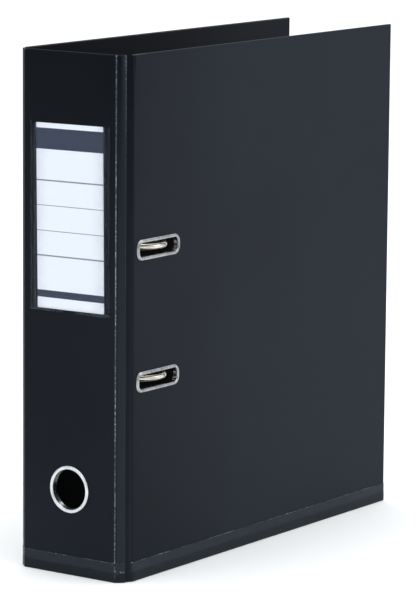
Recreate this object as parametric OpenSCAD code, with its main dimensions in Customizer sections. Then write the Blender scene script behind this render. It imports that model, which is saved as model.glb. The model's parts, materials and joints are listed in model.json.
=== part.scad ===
// Two-hole lever file: a foil-covered board case with two hinged covers, and an arch
// mechanism riveted to the inside of the back cover.
// X runs from the spine to the fore edge, Y from the front cover to the back cover, Z up.
// The origin is at the middle of the standing foot.

/* [Case] */
// Height of the case
case_h = 318; // [280:1:400]
// Depth of the case, from the spine's face to the fore edge
case_d = 290; // [220:1:360]
// Thickness over the outer faces of both covers
case_t = 82; // [72:1:110]
// Thickness of the grey board
board_t = 1.8; // [1.4:0.1:2.4]
// Thickness of the cover foil and of the lining
foil_t = 0.35; // [0.2:0.05:0.5]
// Width of the foil turned in round each edge
turn_in = 15; // [8:1:25]

/* [Hinges] */
// Width of the narrow board strip beside each hinge groove
strip_w = 6.1; // [5:0.1:10]
// Lean of that strip from the spine's face, in degrees
strip_lean = 40; // [30:1:50]
// Half the width of a hinge groove
groove_half = 1.8; // [1.8:0.1:3]
// Gap between the spine board's edge and the strip's edge, each side of the crease
crease_gap = 1.0; // [1.0:0.1:1.6]
// Distance that the foil and lining stay back from the hinge line
fold_gap = 0.5; // [0.5:0.05:0.8]

/* [Foot band] */
// Height of the reinforcing band along the bottom edges
band_h = 12; // [6:1:20]
// Thickness of that band
band_t = 0.25; // [0.15:0.05:0.5]

/* [Label] */
// Width of the label card
card_w = 50; // [30:1:56]
// Height of the label card
card_h = 112; // [60:1:130]
// Thickness of the label card
card_t = 0.3; // [0.2:0.05:0.5]
// Height of the label card's lower edge
card_z = 163; // [90:1:165]
// Width of the pocket's welded borders
pocket_border = 4.7; // [2:0.1:5]
// Height of the pocket's welded foot
pocket_foot = 1.8; // [1:0.1:4]
// Thickness of the pocket's clear film
film_t = 0.25; // [0.15:0.05:0.4]
// Clearance between the card and the pocket's faces
card_play = 0.1; // [0.05:0.05:0.2]
// Width of the thumb notch in the pocket's foot
thumb_notch = 9; // [5:1:14]

/* [Finger ring] */
// Radius of the finger hole
ring_bore_r = 12.3; // [9:0.1:15]
// Width of the ring's face beyond the hole
ring_face_w = 2.3; // [1.5:0.1:4]
// Height that the ring stands proud of the spine
ring_rim_h = 0.9; // [0.6:0.1:1.5]
// Wall of the ring's barrel
ring_wall = 0.7; // [0.4:0.1:0.9]
// Height of the finger hole's centre
ring_z = 53; // [30:1:80]
// Width of the backing washer beyond the ring's barrel
washer_w = 3; // [2:0.5:6]
// Thickness of the backing washer
washer_t = 0.5; // [0.3:0.1:1]

/* [Cover slots] */
// Length of each slot's clear opening
slot_l = 38.6; // [36:0.1:44]
// Height of each slot's clear opening
slot_h = 8.4; // [7.5:0.1:12]
// Distance from the spine's face to the slots' centres
slot_x = 33.6; // [32:0.1:35]
// Width of a slot rim's outer flange
rim_w = 2.3; // [1.5:0.1:4]
// Height that a slot rim stands proud of the cover
rim_h = 1.0; // [0.6:0.1:1.5]
// Wall of a slot rim's barrel
rim_wall = 0.5; // [0.3:0.1:0.8]
// Corner radius of a slot's clear opening
slot_corner = 3; // [2:0.1:3.5]

/* [Arches and posts] */
// Distance between the two arches, which is the paper's hole spacing
hole_gap = 80; // [70:1:100]
// Height of the mechanism's centre
mech_z = 161; // [130:1:175]
// Distance from the spine's face to the posts
post_x = 54; // [52:0.5:58]
// Radius of each arch, to the middle of the wire
arch_r = 16; // [13:0.5:17]
// Radius of the arch wire
wire_r = 1.9; // [1.5:0.1:2.2]
// Radius of the posts
post_r = 2.1; // [1.8:0.1:2.4]
// Depth of the arches' top below the front cover's outer face
arch_top = 1.0; // [0.5:0.1:3]
// Depth of the joint between arch and post below the front cover's outer face
joint_depth = 30; // [26:1:36]
// Clearance between an arch's tip and its post
joint_gap = 0.25; // [0.2:0.05:0.5]
// Thickness added to a post at its foot, on the radius
post_foot_extra = 0.5; // [0.4:0.1:1]
// Height of a post's thicker foot
post_foot_h = 6.5; // [5.5:0.5:9]
// Bend radius of the wire at the foot of each arch
foot_bend = 4; // [3.5:0.1:5]
// Radial clearance of a shaft in its bore
run_fit = 0.06; // [0.03:0.01:0.09]
// Radial clearance of a fixed pin or rivet in its hole
pin_fit = 0.04; // [0.02:0.01:0.08]

/* [Base plate] */
// Width of the base plate
plate_w = 52; // [48:1:56]
// Length of the base plate
plate_l = 160; // [150:1:200]
// Thickness of the plate's steel sheet
sheet_t = 1.2; // [0.8:0.1:1.5]
// Distance from the spine's face to the plate's near edge
plate_x = 12; // [10:0.5:14]
// Height of the plate's folded side flanges
flange_h = 2.0; // [1:0.1:3]
// Height of the arch's axle above the plate
axle_h = 5; // [4.8:0.1:6]
// Height of the arch bearings from the mechanism's centre
bearing_z = 31; // [28:0.5:32]
// Radius of the rivet shanks
rivet_r = 2; // [1.5:0.1:2.5]
// Radius of the rivets' outer heads
rivet_head_r = 4.5; // [3.5:0.1:6]
// Height of the rivets' outer heads
rivet_head_h = 1.0; // [0.6:0.1:1.4]
// Distance from the plate's edges to the rivets
rivet_inset = 6.5; // [6:0.5:8]

/* [Lever] */
// Length of the lever from its pivot
lever_l = 80; // [60:1:88]
// Outer width of the lever's channel
lever_w = 9.6; // [8.8:0.1:10.4]
// Depth of the lever's channel
lever_depth = 7.3; // [6.5:0.1:7.6]
// Thickness of the lever's sheet
lever_t = 1.0; // [0.8:0.1:1.2]
// Height of the pivot below the mechanism's centre
pivot_drop = 12; // [10:0.5:14]
// Radius of the lever's pivot pin
pivot_r = 1.5; // [1.2:0.1:1.6]
// Radius of the roller
roller_r = 3; // [2.8:0.05:3.2]
// Radius of the roller's pin
roller_pin_r = 1; // [0.8:0.05:1.2]
// Distance from the pivot to the roller's centre
roller_arm = 5; // [5:0.05:6]
// Reach of the wire's crank from the arch's axle
crank_arm = 11; // [10.5:0.1:12]
// Bend radius of the crank
crank_bend = 3; // [2.5:0.1:3.5]
// Width of the lever's thumb plate
thumb_w = 14; // [11:0.5:16]
// Length of the lever's thumb plate
thumb_l = 22; // [15:1:26]

/* [Compressor] */
// Width of the compressor bar
bar_w = 18; // [14:0.5:20]
// Length of the compressor bar past each post
bar_over = 12; // [8:1:20]
// Thickness of the compressor bar
bar_t = 2; // [1.6:0.1:2.6]
// Radial clearance of the compressor's holes round the posts' feet
bar_play = 0.4; // [0.3:0.1:0.8]

/* [Spring] */
// Radius of the spring's wire
spring_wire_r = 0.6; // [0.4:0.05:0.7]
// Number of coils in the spring
spring_coils = 8; // [4:1:9]

/* [Hidden] */
$fn = 64;
EPS = 0.01;

cover_t = board_t + 2 * foil_t;
face_x = -(case_d - ring_rim_h) / 2;
fore_x = face_x + case_d;
front_y = -case_t / 2;
back_y = case_t / 2;

// Hinge line of the front cover; the back cover's is its mirror image.
axis_x = face_x + (groove_half + strip_w) * sin(strip_lean) + board_t * cos(strip_lean);
axis_y = front_y + board_t;
cover_x = axis_x + groove_half;

// A point of the front strip: u along it from the hinge line, w inward from that line.
function strip_pt(u, w) = [
    axis_x - u * sin(strip_lean) + w * cos(strip_lean),
    axis_y + u * cos(strip_lean) + w * sin(strip_lean)
];
// A point of the crease between spine and strip, at a depth below the outer faces.
crease_y = strip_pt(groove_half + strip_w, -board_t)[1];
function crease_pt(depth) = [face_x + depth, crease_y + depth * tan(strip_lean / 2)];

pocket_t = card_t + 2 * card_play + film_t;
pocket_w = card_w + 2 * (pocket_border + card_play);
pocket_z = card_z - pocket_foot - card_play;
ring_barrel_r = ring_bore_r + ring_wall;
ring_face_r = ring_bore_r + ring_face_w;
ring_lip = 0.6;
washer_r = ring_barrel_r + washer_w;

plate_top = back_y - cover_t - sheet_t;
axle_x = face_x + post_x - 2 * arch_r;
axle_y = plate_top - axle_h;
arch_y = front_y + arch_top + wire_r + arch_r;
joint_y = front_y + joint_depth;
arch_z = [mech_z - hole_gap / 2, mech_z + hole_gap / 2];
bearing_w = 10;
post_at_x = face_x + post_x;

pivot_z = mech_z - pivot_drop;
crank_x = axle_x + crank_arm;
crank_below = 9;
crank_above = 14;
crank_low = pivot_z - crank_below;
crank_high = pivot_z + crank_above;
roller_play = 0.1;
roller_y = axle_y - wire_r - roller_r - roller_play;
pivot_set = 1;
pivot_y = roller_y - pivot_set;
roller_z = pivot_z + sqrt(pow(roller_arm, 2) - pow(roller_y - pivot_y, 2));
lever_gap = 0.8;
lever_back_y = axle_y - wire_r - lever_gap;
lever_front_y = lever_back_y - lever_depth;
lug_gap = 0.3;
pin_head_over = 0.9;
pin_head_r = pivot_r + pin_head_over;
pin_head_h = 0.6;
post_foot_r = post_r + post_foot_extra;
shank_step = 0.6;
post_shank_r = post_r - shank_step;
foot_over = 0.5;
bar_y = plate_top - post_foot_h + foot_over;
spring_gap = 0.4;
coil_r = wire_r + spring_gap + spring_wire_r;
spring_lift = 1.2;
spring_z = crank_high + crank_bend + wire_r + spring_lift;
spring_reach = crank_arm * 0.55;
rivet_z = [mech_z - plate_l / 2 + rivet_inset, mech_z + plate_l / 2 - rivet_inset];
rivet_x = [face_x + plate_x + rivet_inset, face_x + plate_x + plate_w - rivet_inset];

// ---- shared shapes ----

// A block from its low to its high corner.
module slab(low, high) {
    translate(low) cube(high - low);
}

// A rectangle with round corners, about its centre.
module round_rect(size, r) {
    square([size[0] - 2 * r, size[1]], center = true);
    square([size[0], size[1] - 2 * r], center = true);
    for (sx = [-1, 1], sy = [-1, 1])
        translate([sx * (size[0] / 2 - r), sy * (size[1] / 2 - r)]) circle(r);
}

// An outline in X and Z, made thick from y0 to y1.
module through_y(y0, y1) {
    translate([0, y1, 0]) rotate([90, 0, 0]) linear_extrude(y1 - y0) children();
}

// A turned part about the Y direction, its outline given as radius and Y.
module turned_y(at_x, at_z) {
    translate([at_x, 0, at_z]) rotate([-90, 0, 0]) rotate_extrude() children();
}

// The same piece for the back cover.
module on_back() {
    mirror([0, 1, 0]) children();
}

// ---- covers ----

// The holes that the slot rims pass through, made larger than the clear slot by grow.
module slot_holes(grow, y0, y1) {
    for (z = arch_z)
        through_y(y0, y1) translate([face_x + slot_x, z])
            round_rect([slot_l + 2 * grow, slot_h + 2 * grow], slot_corner + grow);
}

// The holes that the rivets pass through.
module rivet_holes(y0, y1) {
    for (x = rivet_x, z = rivet_z)
        through_y(y0, y1) translate([x, z]) circle(rivet_r + pin_fit);
}

module cover_board() {
    slab([cover_x + foil_t, front_y + foil_t, band_t + foil_t],
         [fore_x - foil_t, front_y + foil_t + board_t, case_h - foil_t]);
}

// Outer foil with its turned-in edges and its half of the hinge groove.
module cover_foil() {
    difference() {
        union() {
            slab([cover_x, front_y, band_t], [fore_x, front_y + cover_t, case_h]);
            slab([axis_x + fold_gap, axis_y, band_t], [cover_x + foil_t, axis_y + foil_t, case_h]);
        }
        cover_board();
        slab([axis_x, axis_y + foil_t, turn_in],
             [fore_x - turn_in, front_y + cover_t + 1, case_h - turn_in]);
    }
}

module cover_lining() {
    slab([axis_x + fold_gap, axis_y + foil_t, turn_in],
         [fore_x - turn_in, front_y + cover_t, case_h - turn_in]);
}

// A channel of reinforcing foil round the cover's bottom edge.
module cover_band() {
    difference() {
        slab([cover_x, front_y - band_t, 0], [fore_x, front_y + cover_t + band_t, band_h]);
        slab([cover_x - 1, front_y, band_t], [fore_x + 1, front_y + cover_t, band_h + 1]);
    }
}

module front_board() {
    color("#4a4a46") difference() {
        cover_board();
        slot_holes(rim_wall + pin_fit, front_y - 1, front_y + cover_t + 1);
    }
}

module front_cover_foil() {
    color("#2a2d33") difference() {
        cover_foil();
        slot_holes(rim_wall + pin_fit, front_y - 1, front_y + cover_t + 1);
    }
}

module front_lining() {
    color("#1d1f23") difference() {
        cover_lining();
        slot_holes(rim_wall + pin_fit, front_y - 1, front_y + cover_t + 1);
    }
}

module front_bottom_band() {
    color("#24272d") cover_band();
}

// Pressed metal rim: a stepped flange outside, a barrel through the board, a lip inside.
module slot_rim(z) {
    bevel = 0.6;
    lip_t = 0.4;
    size = [slot_l, slot_h];
    grow = [1, 1];
    color("silver") translate([0, 0, z]) difference() {
        union() {
            translate([face_x + slot_x, 0, 0]) {
                through_y(front_y - rim_h * 0.6, front_y)
                    round_rect(size + 2 * rim_w * grow, slot_corner + rim_w);
                through_y(front_y - rim_h, front_y)
                    round_rect(size + 2 * (rim_w - bevel) * grow, slot_corner + rim_w - bevel);
                through_y(front_y - EPS, front_y + cover_t + EPS)
                    round_rect(size + 2 * rim_wall * grow, slot_corner + rim_wall);
                through_y(front_y + cover_t, front_y + cover_t + lip_t)
                    round_rect(size + 2 * (rim_w - bevel) * grow, slot_corner + rim_w - bevel);
            }
        }
        translate([face_x + slot_x, 0, 0])
            through_y(front_y - rim_h - 1, front_y + cover_t + lip_t + 1)
                round_rect(size, slot_corner);
    }
}

module slot_rim_upper() {
    slot_rim(arch_z[1]);
}

module slot_rim_lower() {
    slot_rim(arch_z[0]);
}

module back_board() {
    color("#4a4a46") difference() {
        on_back() cover_board();
        rivet_holes(back_y - cover_t - 1, back_y + 1);
    }
}

module back_cover_foil() {
    color("#2a2d33") difference() {
        on_back() cover_foil();
        rivet_holes(back_y - cover_t - 1, back_y + 1);
    }
}

module back_lining() {
    color("#1d1f23") difference() {
        on_back() cover_lining();
        rivet_holes(back_y - cover_t - 1, back_y + 1);
    }
}

module back_bottom_band() {
    color("#24272d") on_back() cover_band();
}

// ---- spine ----

// A section of the spine, given as its front half, made whole and drawn out from z0 to z1.
module spine_section(half, z0, z1) {
    last = len(half) - 1;
    mirrored = [for (i = [last:-1:0]) [half[i][0], -half[i][1]]];
    translate([0, 0, z0]) linear_extrude(z1 - z0) polygon(concat(half, mirrored));
}

// Half outline of the room for the boards, inside the foil.
room_half = [
    crease_pt(foil_t), strip_pt(groove_half + foil_t, foil_t - board_t),
    strip_pt(groove_half + foil_t, foil_t), crease_pt(foil_t + board_t)
];
// Half outline of what is open between the foil's turned-in ends: the rest of the boards'
// room and the lining's place, cut past the wall's inner face.
open_half = [
    crease_pt(cover_t / 2), strip_pt(groove_half + foil_t, -board_t / 2),
    strip_pt(groove_half + foil_t, foil_t), strip_pt(fold_gap - 1, foil_t),
    strip_pt(fold_gap - 1, cover_t), crease_pt(cover_t + 1)
];
// Half outline of the inner layer, which is lining, or turned-in foil near the ends.
inner_half = [
    crease_pt(foil_t + board_t), strip_pt(fold_gap, foil_t), strip_pt(fold_gap, 2 * foil_t),
    crease_pt(cover_t)
];
// Half outline of the whole wall.
wall_half = [
    crease_pt(0), strip_pt(groove_half, -board_t), strip_pt(groove_half, 0),
    strip_pt(fold_gap, 0), strip_pt(fold_gap, 2 * foil_t), crease_pt(cover_t)
];
// Half outline of the reinforcing band on the outer faces.
band_half = [
    crease_pt(-band_t), strip_pt(groove_half, -board_t - band_t),
    strip_pt(groove_half, -board_t), crease_pt(0)
];

// The hole that the finger ring passes through.
module ring_hole() {
    translate([face_x - 1, 0, ring_z]) rotate([0, 90, 0])
        cylinder(r = ring_barrel_r + pin_fit, h = cover_t + 2);
}

module spine_board() {
    half = -crease_y - crease_gap;
    color("#4a4a46") difference() {
        slab([face_x + foil_t, -half, band_t + foil_t],
             [face_x + foil_t + board_t, half, case_h - foil_t]);
        ring_hole();
    }
}

module hinge_strip() {
    low = groove_half + foil_t;
    high = groove_half + strip_w - crease_gap;
    color("#4a4a46") translate([0, 0, band_t + foil_t])
        linear_extrude(case_h - band_t - 2 * foil_t)
            polygon([strip_pt(low, foil_t - board_t), strip_pt(high, foil_t - board_t),
                     strip_pt(high, foil_t), strip_pt(low, foil_t)]);
}

module front_hinge_strip() {
    hinge_strip();
}

module back_hinge_strip() {
    on_back() hinge_strip();
}

module spine_foil() {
    color("#22252b") difference() {
        spine_section(wall_half, band_t, case_h);
        spine_section(room_half, band_t + foil_t, case_h - foil_t);
        spine_section(open_half, turn_in, case_h - turn_in);
        ring_hole();
    }
}

module spine_lining() {
    color("#1d1f23") difference() {
        spine_section(inner_half, turn_in, case_h - turn_in);
        ring_hole();
    }
}

module spine_bottom_band() {
    color("#24272d") union() {
        spine_section(band_half, 0, band_h);
        spine_section(wall_half, 0, band_t);
    }
}

// The line of foil in each groove that bends when a cover opens.
module hinge_foil() {
    color("#2a2d33") translate([axis_x, axis_y, band_t])
        cylinder(r = fold_gap * 0.6, h = case_h - band_t);
}

module front_hinge_foil() {
    hinge_foil();
}

module back_hinge_foil() {
    on_back() hinge_foil();
}

// Flanged eyelet: face outside, barrel through the spine, lip rolled over the washer.
module finger_ring() {
    soft = 0.4;
    back = cover_t + washer_t;
    lip_r = ring_barrel_r + 1;
    color("silver") translate([face_x, 0, ring_z]) rotate([0, 90, 0]) rotate_extrude($fn = 96)
        polygon([
            [ring_bore_r, soft - ring_rim_h], [ring_bore_r + soft, -ring_rim_h],
            [ring_face_r - soft, -ring_rim_h], [ring_face_r, soft - ring_rim_h],
            [ring_face_r, 0], [ring_barrel_r, 0], [ring_barrel_r, back], [lip_r, back],
            [lip_r, back + ring_lip - soft / 2], [lip_r - soft / 2, back + ring_lip],
            [ring_bore_r + soft, back + ring_lip], [ring_bore_r, back + ring_lip - soft]
        ]);
}

module finger_ring_washer() {
    color("silver") translate([face_x + cover_t, 0, ring_z]) rotate([0, 90, 0]) difference() {
        cylinder(r = washer_r, h = washer_t, $fn = 96);
        translate([0, 0, -1]) cylinder(r = ring_barrel_r + pin_fit, h = washer_t + 2, $fn = 96);
    }
}

// Clear film welded to the spine at both sides and at its foot, open at the top.
module label_pocket() {
    room_w = card_w + 2 * card_play;
    top_z = card_z + card_h;
    color("lightsteelblue", 0.4) difference() {
        slab([face_x - pocket_t, -pocket_w / 2, pocket_z], [face_x, pocket_w / 2, top_z]);
        slab([face_x - pocket_t + film_t, -room_w / 2, card_z - card_play],
             [face_x + 1, room_w / 2, top_z + 1]);
        slab([face_x - pocket_t - 1, -thumb_notch / 2, pocket_z - 1],
             [face_x + 1, thumb_notch / 2, card_z]);
    }
}

module label_card() {
    color("white") translate([face_x - card_play - card_t, -card_w / 2, card_z])
        cube([card_t, card_w, card_h - EPS]);
}

// ---- mechanism: fixed pieces ----

// An ear folded up from the plate across Z, with its bore for the arch's axle.
module axle_ear(z) {
    reach = wire_r + 2.2;
    translate([0, 0, z - sheet_t / 2]) difference() {
        union() {
            slab([axle_x - bearing_w / 2, axle_y, 0],
                 [axle_x + bearing_w / 2, plate_top + EPS, sheet_t]);
            translate([axle_x, axle_y, 0]) cylinder(r = reach, h = sheet_t);
        }
        translate([axle_x, axle_y, -1]) cylinder(r = wire_r + run_fit, h = sheet_t + 2);
    }
}

// An ear folded up from the plate across X, with its bore for the lever's pin.
module lever_ear(x) {
    reach = pivot_r + 2;
    translate([x, 0, 0]) difference() {
        union() {
            slab([0, pivot_y, pivot_z - reach], [sheet_t, plate_top + EPS, pivot_z + reach]);
            translate([0, pivot_y, pivot_z]) rotate([0, 90, 0]) cylinder(r = reach, h = sheet_t);
        }
        translate([-1, pivot_y, pivot_z]) rotate([0, 90, 0])
            cylinder(r = pivot_r + pin_fit, h = sheet_t + 2);
    }
}

ear_inner = lever_w / 2 + lug_gap;

module base_plate() {
    corner = 5;
    x0 = face_x + plate_x;
    color("gainsboro") difference() {
        union() {
            through_y(plate_top, plate_top + sheet_t)
                translate([x0 + plate_w / 2, mech_z]) round_rect([plate_w, plate_l], corner);
            for (x = [x0, x0 + plate_w - sheet_t])
                slab([x, plate_top - flange_h, mech_z - plate_l / 2 + corner],
                     [x + sheet_t, plate_top + EPS, mech_z + plate_l / 2 - corner]);
            for (side = [-1, 1]) axle_ear(mech_z + side * bearing_z);
            lever_ear(crank_x - ear_inner - sheet_t);
            lever_ear(crank_x + ear_inner);
        }
        rivet_holes(plate_top - 1, plate_top + sheet_t + 1);
        for (z = arch_z)
            through_y(plate_top - 1, plate_top + sheet_t + 1)
                translate([post_at_x, z]) circle(post_shank_r + pin_fit);
    }
}

// Rivets: a domed head outside the back cover, a small rolled head on the plate.
module base_rivets() {
    soft = 0.35;
    inner_r = rivet_r + 1.4;
    inner_h = 0.7;
    color("silver") for (x = rivet_x, z = rivet_z)
        turned_y(x, z) polygon([
            [0, plate_top - inner_h], [inner_r - soft, plate_top - inner_h],
            [inner_r, plate_top - inner_h + soft], [inner_r, plate_top], [rivet_r, plate_top],
            [rivet_r, back_y], [rivet_head_r, back_y], [rivet_head_r, back_y + soft],
            [rivet_head_r * 0.6, back_y + rivet_head_h], [0, back_y + rivet_head_h]
        ]);
}

// A straight post with a thick foot and a small cone that the arch's tip sits on. Its
// thinner end goes through the plate.
module post(z) {
    tip_y = joint_y + joint_gap;
    nib_r = wire_r - 0.5;
    nib_soft = 0.9;
    nib_h = 0.45;
    color("silver") turned_y(post_at_x, z) polygon([
        [0, tip_y - nib_h], [nib_r - nib_soft, tip_y - nib_h], [nib_r, tip_y], [post_r, tip_y],
        [post_r, plate_top - post_foot_h], [post_foot_r, plate_top - post_foot_h],
        [post_foot_r, plate_top], [post_shank_r, plate_top],
        [post_shank_r, plate_top + sheet_t], [0, plate_top + sheet_t]
    ]);
}

module post_upper() {
    post(arch_z[1]);
}

module post_lower() {
    post(arch_z[0]);
}

module lever_pin() {
    x0 = crank_x - ear_inner - sheet_t;
    x1 = crank_x + ear_inner + sheet_t;
    color("silver") translate([0, pivot_y, pivot_z]) rotate([0, 90, 0]) {
        translate([0, 0, x0]) cylinder(r = pivot_r, h = x1 - x0);
        translate([0, 0, x0 - pin_head_h]) cylinder(r = pin_head_r, h = pin_head_h);
        translate([0, 0, x1]) cylinder(r = pin_head_r, h = pin_head_h);
    }
}

// Close-wound spring round the axle; one leg lies on the plate, one under the crank.
module arch_spring() {
    pitch = spring_wire_r * 1.9;
    top = (spring_coils - 1) * pitch;
    leg_y = plate_top - spring_wire_r;
    reach_y = axle_y + wire_r + spring_gap + spring_wire_r;
    color("dimgray") union() {
        translate([axle_x, axle_y, spring_z]) rotate_extrude()
            for (i = [0:spring_coils - 1]) translate([coil_r, i * pitch]) circle(spring_wire_r);
        translate([axle_x + coil_r, axle_y, spring_z + top]) rotate([-90, 0, 0])
            cylinder(r = spring_wire_r, h = leg_y - axle_y);
        translate([axle_x, reach_y, spring_z]) rotate([0, 90, 0])
            cylinder(r = spring_wire_r, h = spring_reach);
        translate([axle_x + spring_reach, reach_y, crank_high - wire_r])
            cylinder(r = spring_wire_r, h = spring_z - crank_high + wire_r);
        translate([axle_x + spring_reach, reach_y, spring_z]) sphere(spring_wire_r);
    }
}

// ---- mechanism: moving pieces ----

// Straight wire from one point to the next, both along one axis.
module wire_bar(from, to) {
    run = to - from;
    turn = run[0] != 0 ? [0, 90 * sign(run[0]), 0]
         : run[1] != 0 ? [-90 * sign(run[1]), 0, 0]
         : [run[2] < 0 ? 180 : 0, 0, 0];
    if (norm(run) > EPS) translate(from) rotate(turn) cylinder(r = wire_r, h = norm(run));
}

// Square bend at a corner, from direction u to direction w, both of length one.
module wire_bend(corner, u, w, r) {
    centre = corner - r * u + r * w;
    side = cross(-w, u);
    multmatrix([
        [-w[0], u[0], side[0], centre[0]],
        [-w[1], u[1], side[1], centre[1]],
        [-w[2], u[2], side[2], centre[2]],
        [0, 0, 0, 1]
    ])
        rotate_extrude(angle = 90) translate([r, 0]) circle(wire_r);
}

function unit(v) = v / norm(v);

// A wire through points, each with the bend radius at that corner.
module bent_wire(points, radii) {
    last = len(points) - 1;
    for (i = [0:last - 1]) {
        u = unit(points[i + 1] - points[i]);
        wire_bar(points[i] + radii[i] * u, points[i + 1] - radii[i + 1] * u);
    }
    for (i = [1:last - 1])
        wire_bend(points[i], unit(points[i] - points[i - 1]), unit(points[i + 1] - points[i]),
                  radii[i]);
}

// The dimple in an arch's tip that fits over the post's cone.
module tip_dimple(z) {
    depth = 0.7;
    translate([post_at_x, joint_y + EPS, z]) rotate([90, 0, 0])
        cylinder(r1 = wire_r - 0.3, r2 = 0.5, h = depth);
}

// One wire: upper arch, its leg, the axle with the crank in its middle, the lower arch.
module arch_wire() {
    crown_y = arch_y - arch_r;
    z0 = arch_z[0];
    z1 = arch_z[1];
    points = [
        [post_at_x, joint_y, z1], [post_at_x, crown_y, z1], [axle_x, crown_y, z1],
        [axle_x, axle_y, z1], [axle_x, axle_y, crank_high], [crank_x, axle_y, crank_high],
        [crank_x, axle_y, crank_low], [axle_x, axle_y, crank_low], [axle_x, axle_y, z0],
        [axle_x, crown_y, z0], [post_at_x, crown_y, z0], [post_at_x, joint_y, z0]
    ];
    radii = [0, arch_r, arch_r, foot_bend, crank_bend, crank_bend, crank_bend, crank_bend,
             foot_bend, arch_r, arch_r, 0];
    color("silver") difference() {
        bent_wire(points, radii);
        for (z = arch_z) tip_dimple(z);
    }
}

// Pressed channel, open towards the plate, with a wider thumb plate and a rolled end.
module lever() {
    tail = 4.5;
    lap = 4;
    back_z = pivot_z - tail;
    thumb_z = pivot_z + lever_l - thumb_l;
    roll_r = 2;
    color("gainsboro") difference() {
        union() {
            slab([crank_x - lever_w / 2, lever_front_y, back_z],
                 [crank_x + lever_w / 2, lever_back_y, thumb_z + lap]);
            slab([crank_x - thumb_w / 2, lever_front_y, thumb_z],
                 [crank_x + thumb_w / 2, lever_front_y + lever_t, pivot_z + lever_l - roll_r]);
            translate([crank_x - thumb_w / 2, lever_front_y + roll_r, pivot_z + lever_l - roll_r])
                rotate([0, 90, 0]) cylinder(r = roll_r, h = thumb_w);
        }
        slab([crank_x - lever_w / 2 + lever_t, lever_front_y + lever_t, back_z - 1],
             [crank_x + lever_w / 2 - lever_t, lever_back_y + 1, thumb_z + lap + 1]);
        translate([crank_x - lever_w, pivot_y, pivot_z]) rotate([0, 90, 0])
            cylinder(r = pivot_r + run_fit, h = 2 * lever_w);
        translate([crank_x - lever_w, roller_y, roller_z]) rotate([0, 90, 0])
            cylinder(r = roller_pin_r + pin_fit, h = 2 * lever_w);
    }
}

module roller_pin() {
    color("silver") translate([crank_x - lever_w / 2, roller_y, roller_z]) rotate([0, 90, 0])
        cylinder(r = roller_pin_r, h = lever_w);
}

module lever_roller() {
    side_play = 0.4;
    length = lever_w - 2 * (lever_t + side_play);
    color("white") translate([crank_x - length / 2, roller_y, roller_z]) rotate([0, 90, 0])
        difference() {
            cylinder(r = roller_r, h = length);
            translate([0, 0, -1]) cylinder(r = roller_pin_r + run_fit, h = length + 2);
        }
}

// The bar that holds the sheets down; it slides along both posts.
module compressor_bar() {
    corner = 4;
    rib_h = 1.6;
    rib_w = 1.4;
    length = hole_gap + 2 * bar_over;
    color("#26282c") difference() {
        union() {
            through_y(bar_y, bar_y + bar_t)
                translate([post_at_x, mech_z]) round_rect([bar_w, length], corner);
            for (side = [-1, 1])
                translate([post_at_x + side * (bar_w - rib_w) / 2 - rib_w / 2, 0, mech_z])
                    slab([0, bar_y - rib_h, corner - length / 2],
                         [rib_w, bar_y + EPS, length / 2 - corner]);
        }
        for (z = arch_z)
            through_y(bar_y - 1, bar_y + bar_t + 1)
                translate([post_at_x, z]) circle(post_foot_r + bar_play);
    }
}

front_board();
front_cover_foil();
front_lining();
front_bottom_band();
slot_rim_upper();
slot_rim_lower();
front_hinge_foil();
back_hinge_foil();
spine_board();
front_hinge_strip();
back_hinge_strip();
spine_foil();
spine_lining();
spine_bottom_band();
finger_ring();
finger_ring_washer();
label_pocket();
label_card();
back_board();
back_cover_foil();
back_lining();
back_bottom_band();
base_plate();
base_rivets();
post_upper();
post_lower();
arch_wire();
arch_spring();
lever();
lever_pin();
lever_roller();
roller_pin();
compressor_bar();
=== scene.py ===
"""Looks of a two-hole lever file: foil-covered board case, clear label pocket, nickel fittings
and the arch mechanism inside. Lengths are in metres; X runs from the spine to the fore edge."""

import json
import math

import bmesh
import bpy
from mathutils import Matrix, Vector, noise
from mathutils.geometry import tessellate_polygon


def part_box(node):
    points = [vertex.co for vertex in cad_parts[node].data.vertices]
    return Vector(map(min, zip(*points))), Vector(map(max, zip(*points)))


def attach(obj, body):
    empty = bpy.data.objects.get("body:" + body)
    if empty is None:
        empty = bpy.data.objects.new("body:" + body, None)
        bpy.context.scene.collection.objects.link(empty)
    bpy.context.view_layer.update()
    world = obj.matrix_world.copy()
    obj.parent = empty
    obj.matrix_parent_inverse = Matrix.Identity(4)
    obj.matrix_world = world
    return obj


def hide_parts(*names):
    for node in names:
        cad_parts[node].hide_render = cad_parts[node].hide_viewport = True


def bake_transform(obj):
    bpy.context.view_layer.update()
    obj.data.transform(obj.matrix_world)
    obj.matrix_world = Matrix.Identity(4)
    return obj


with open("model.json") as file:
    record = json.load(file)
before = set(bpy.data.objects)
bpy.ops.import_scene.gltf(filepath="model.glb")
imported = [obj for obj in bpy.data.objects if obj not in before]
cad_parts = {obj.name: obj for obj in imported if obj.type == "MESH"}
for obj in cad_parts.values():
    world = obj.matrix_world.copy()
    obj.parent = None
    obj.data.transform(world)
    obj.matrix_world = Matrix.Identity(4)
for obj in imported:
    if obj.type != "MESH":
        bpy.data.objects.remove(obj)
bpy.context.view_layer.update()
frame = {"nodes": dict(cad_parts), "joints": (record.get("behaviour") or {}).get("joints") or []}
mm = 0.001

# ---- Standpoint, floor and light ----
# The file stands on a pale floor. A large soft light hangs over it, and two more stand at the
# front cover's side and at the spine's side. The camera looks down a little at the spine's edge.
eye = Vector((-1.7723, -1.2537, 0.5085))
heading = math.radians(54.74)
dip = math.radians(9.44)
roll = math.radians(0.46)
lens = 208.5
floor_half = 14.0


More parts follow.
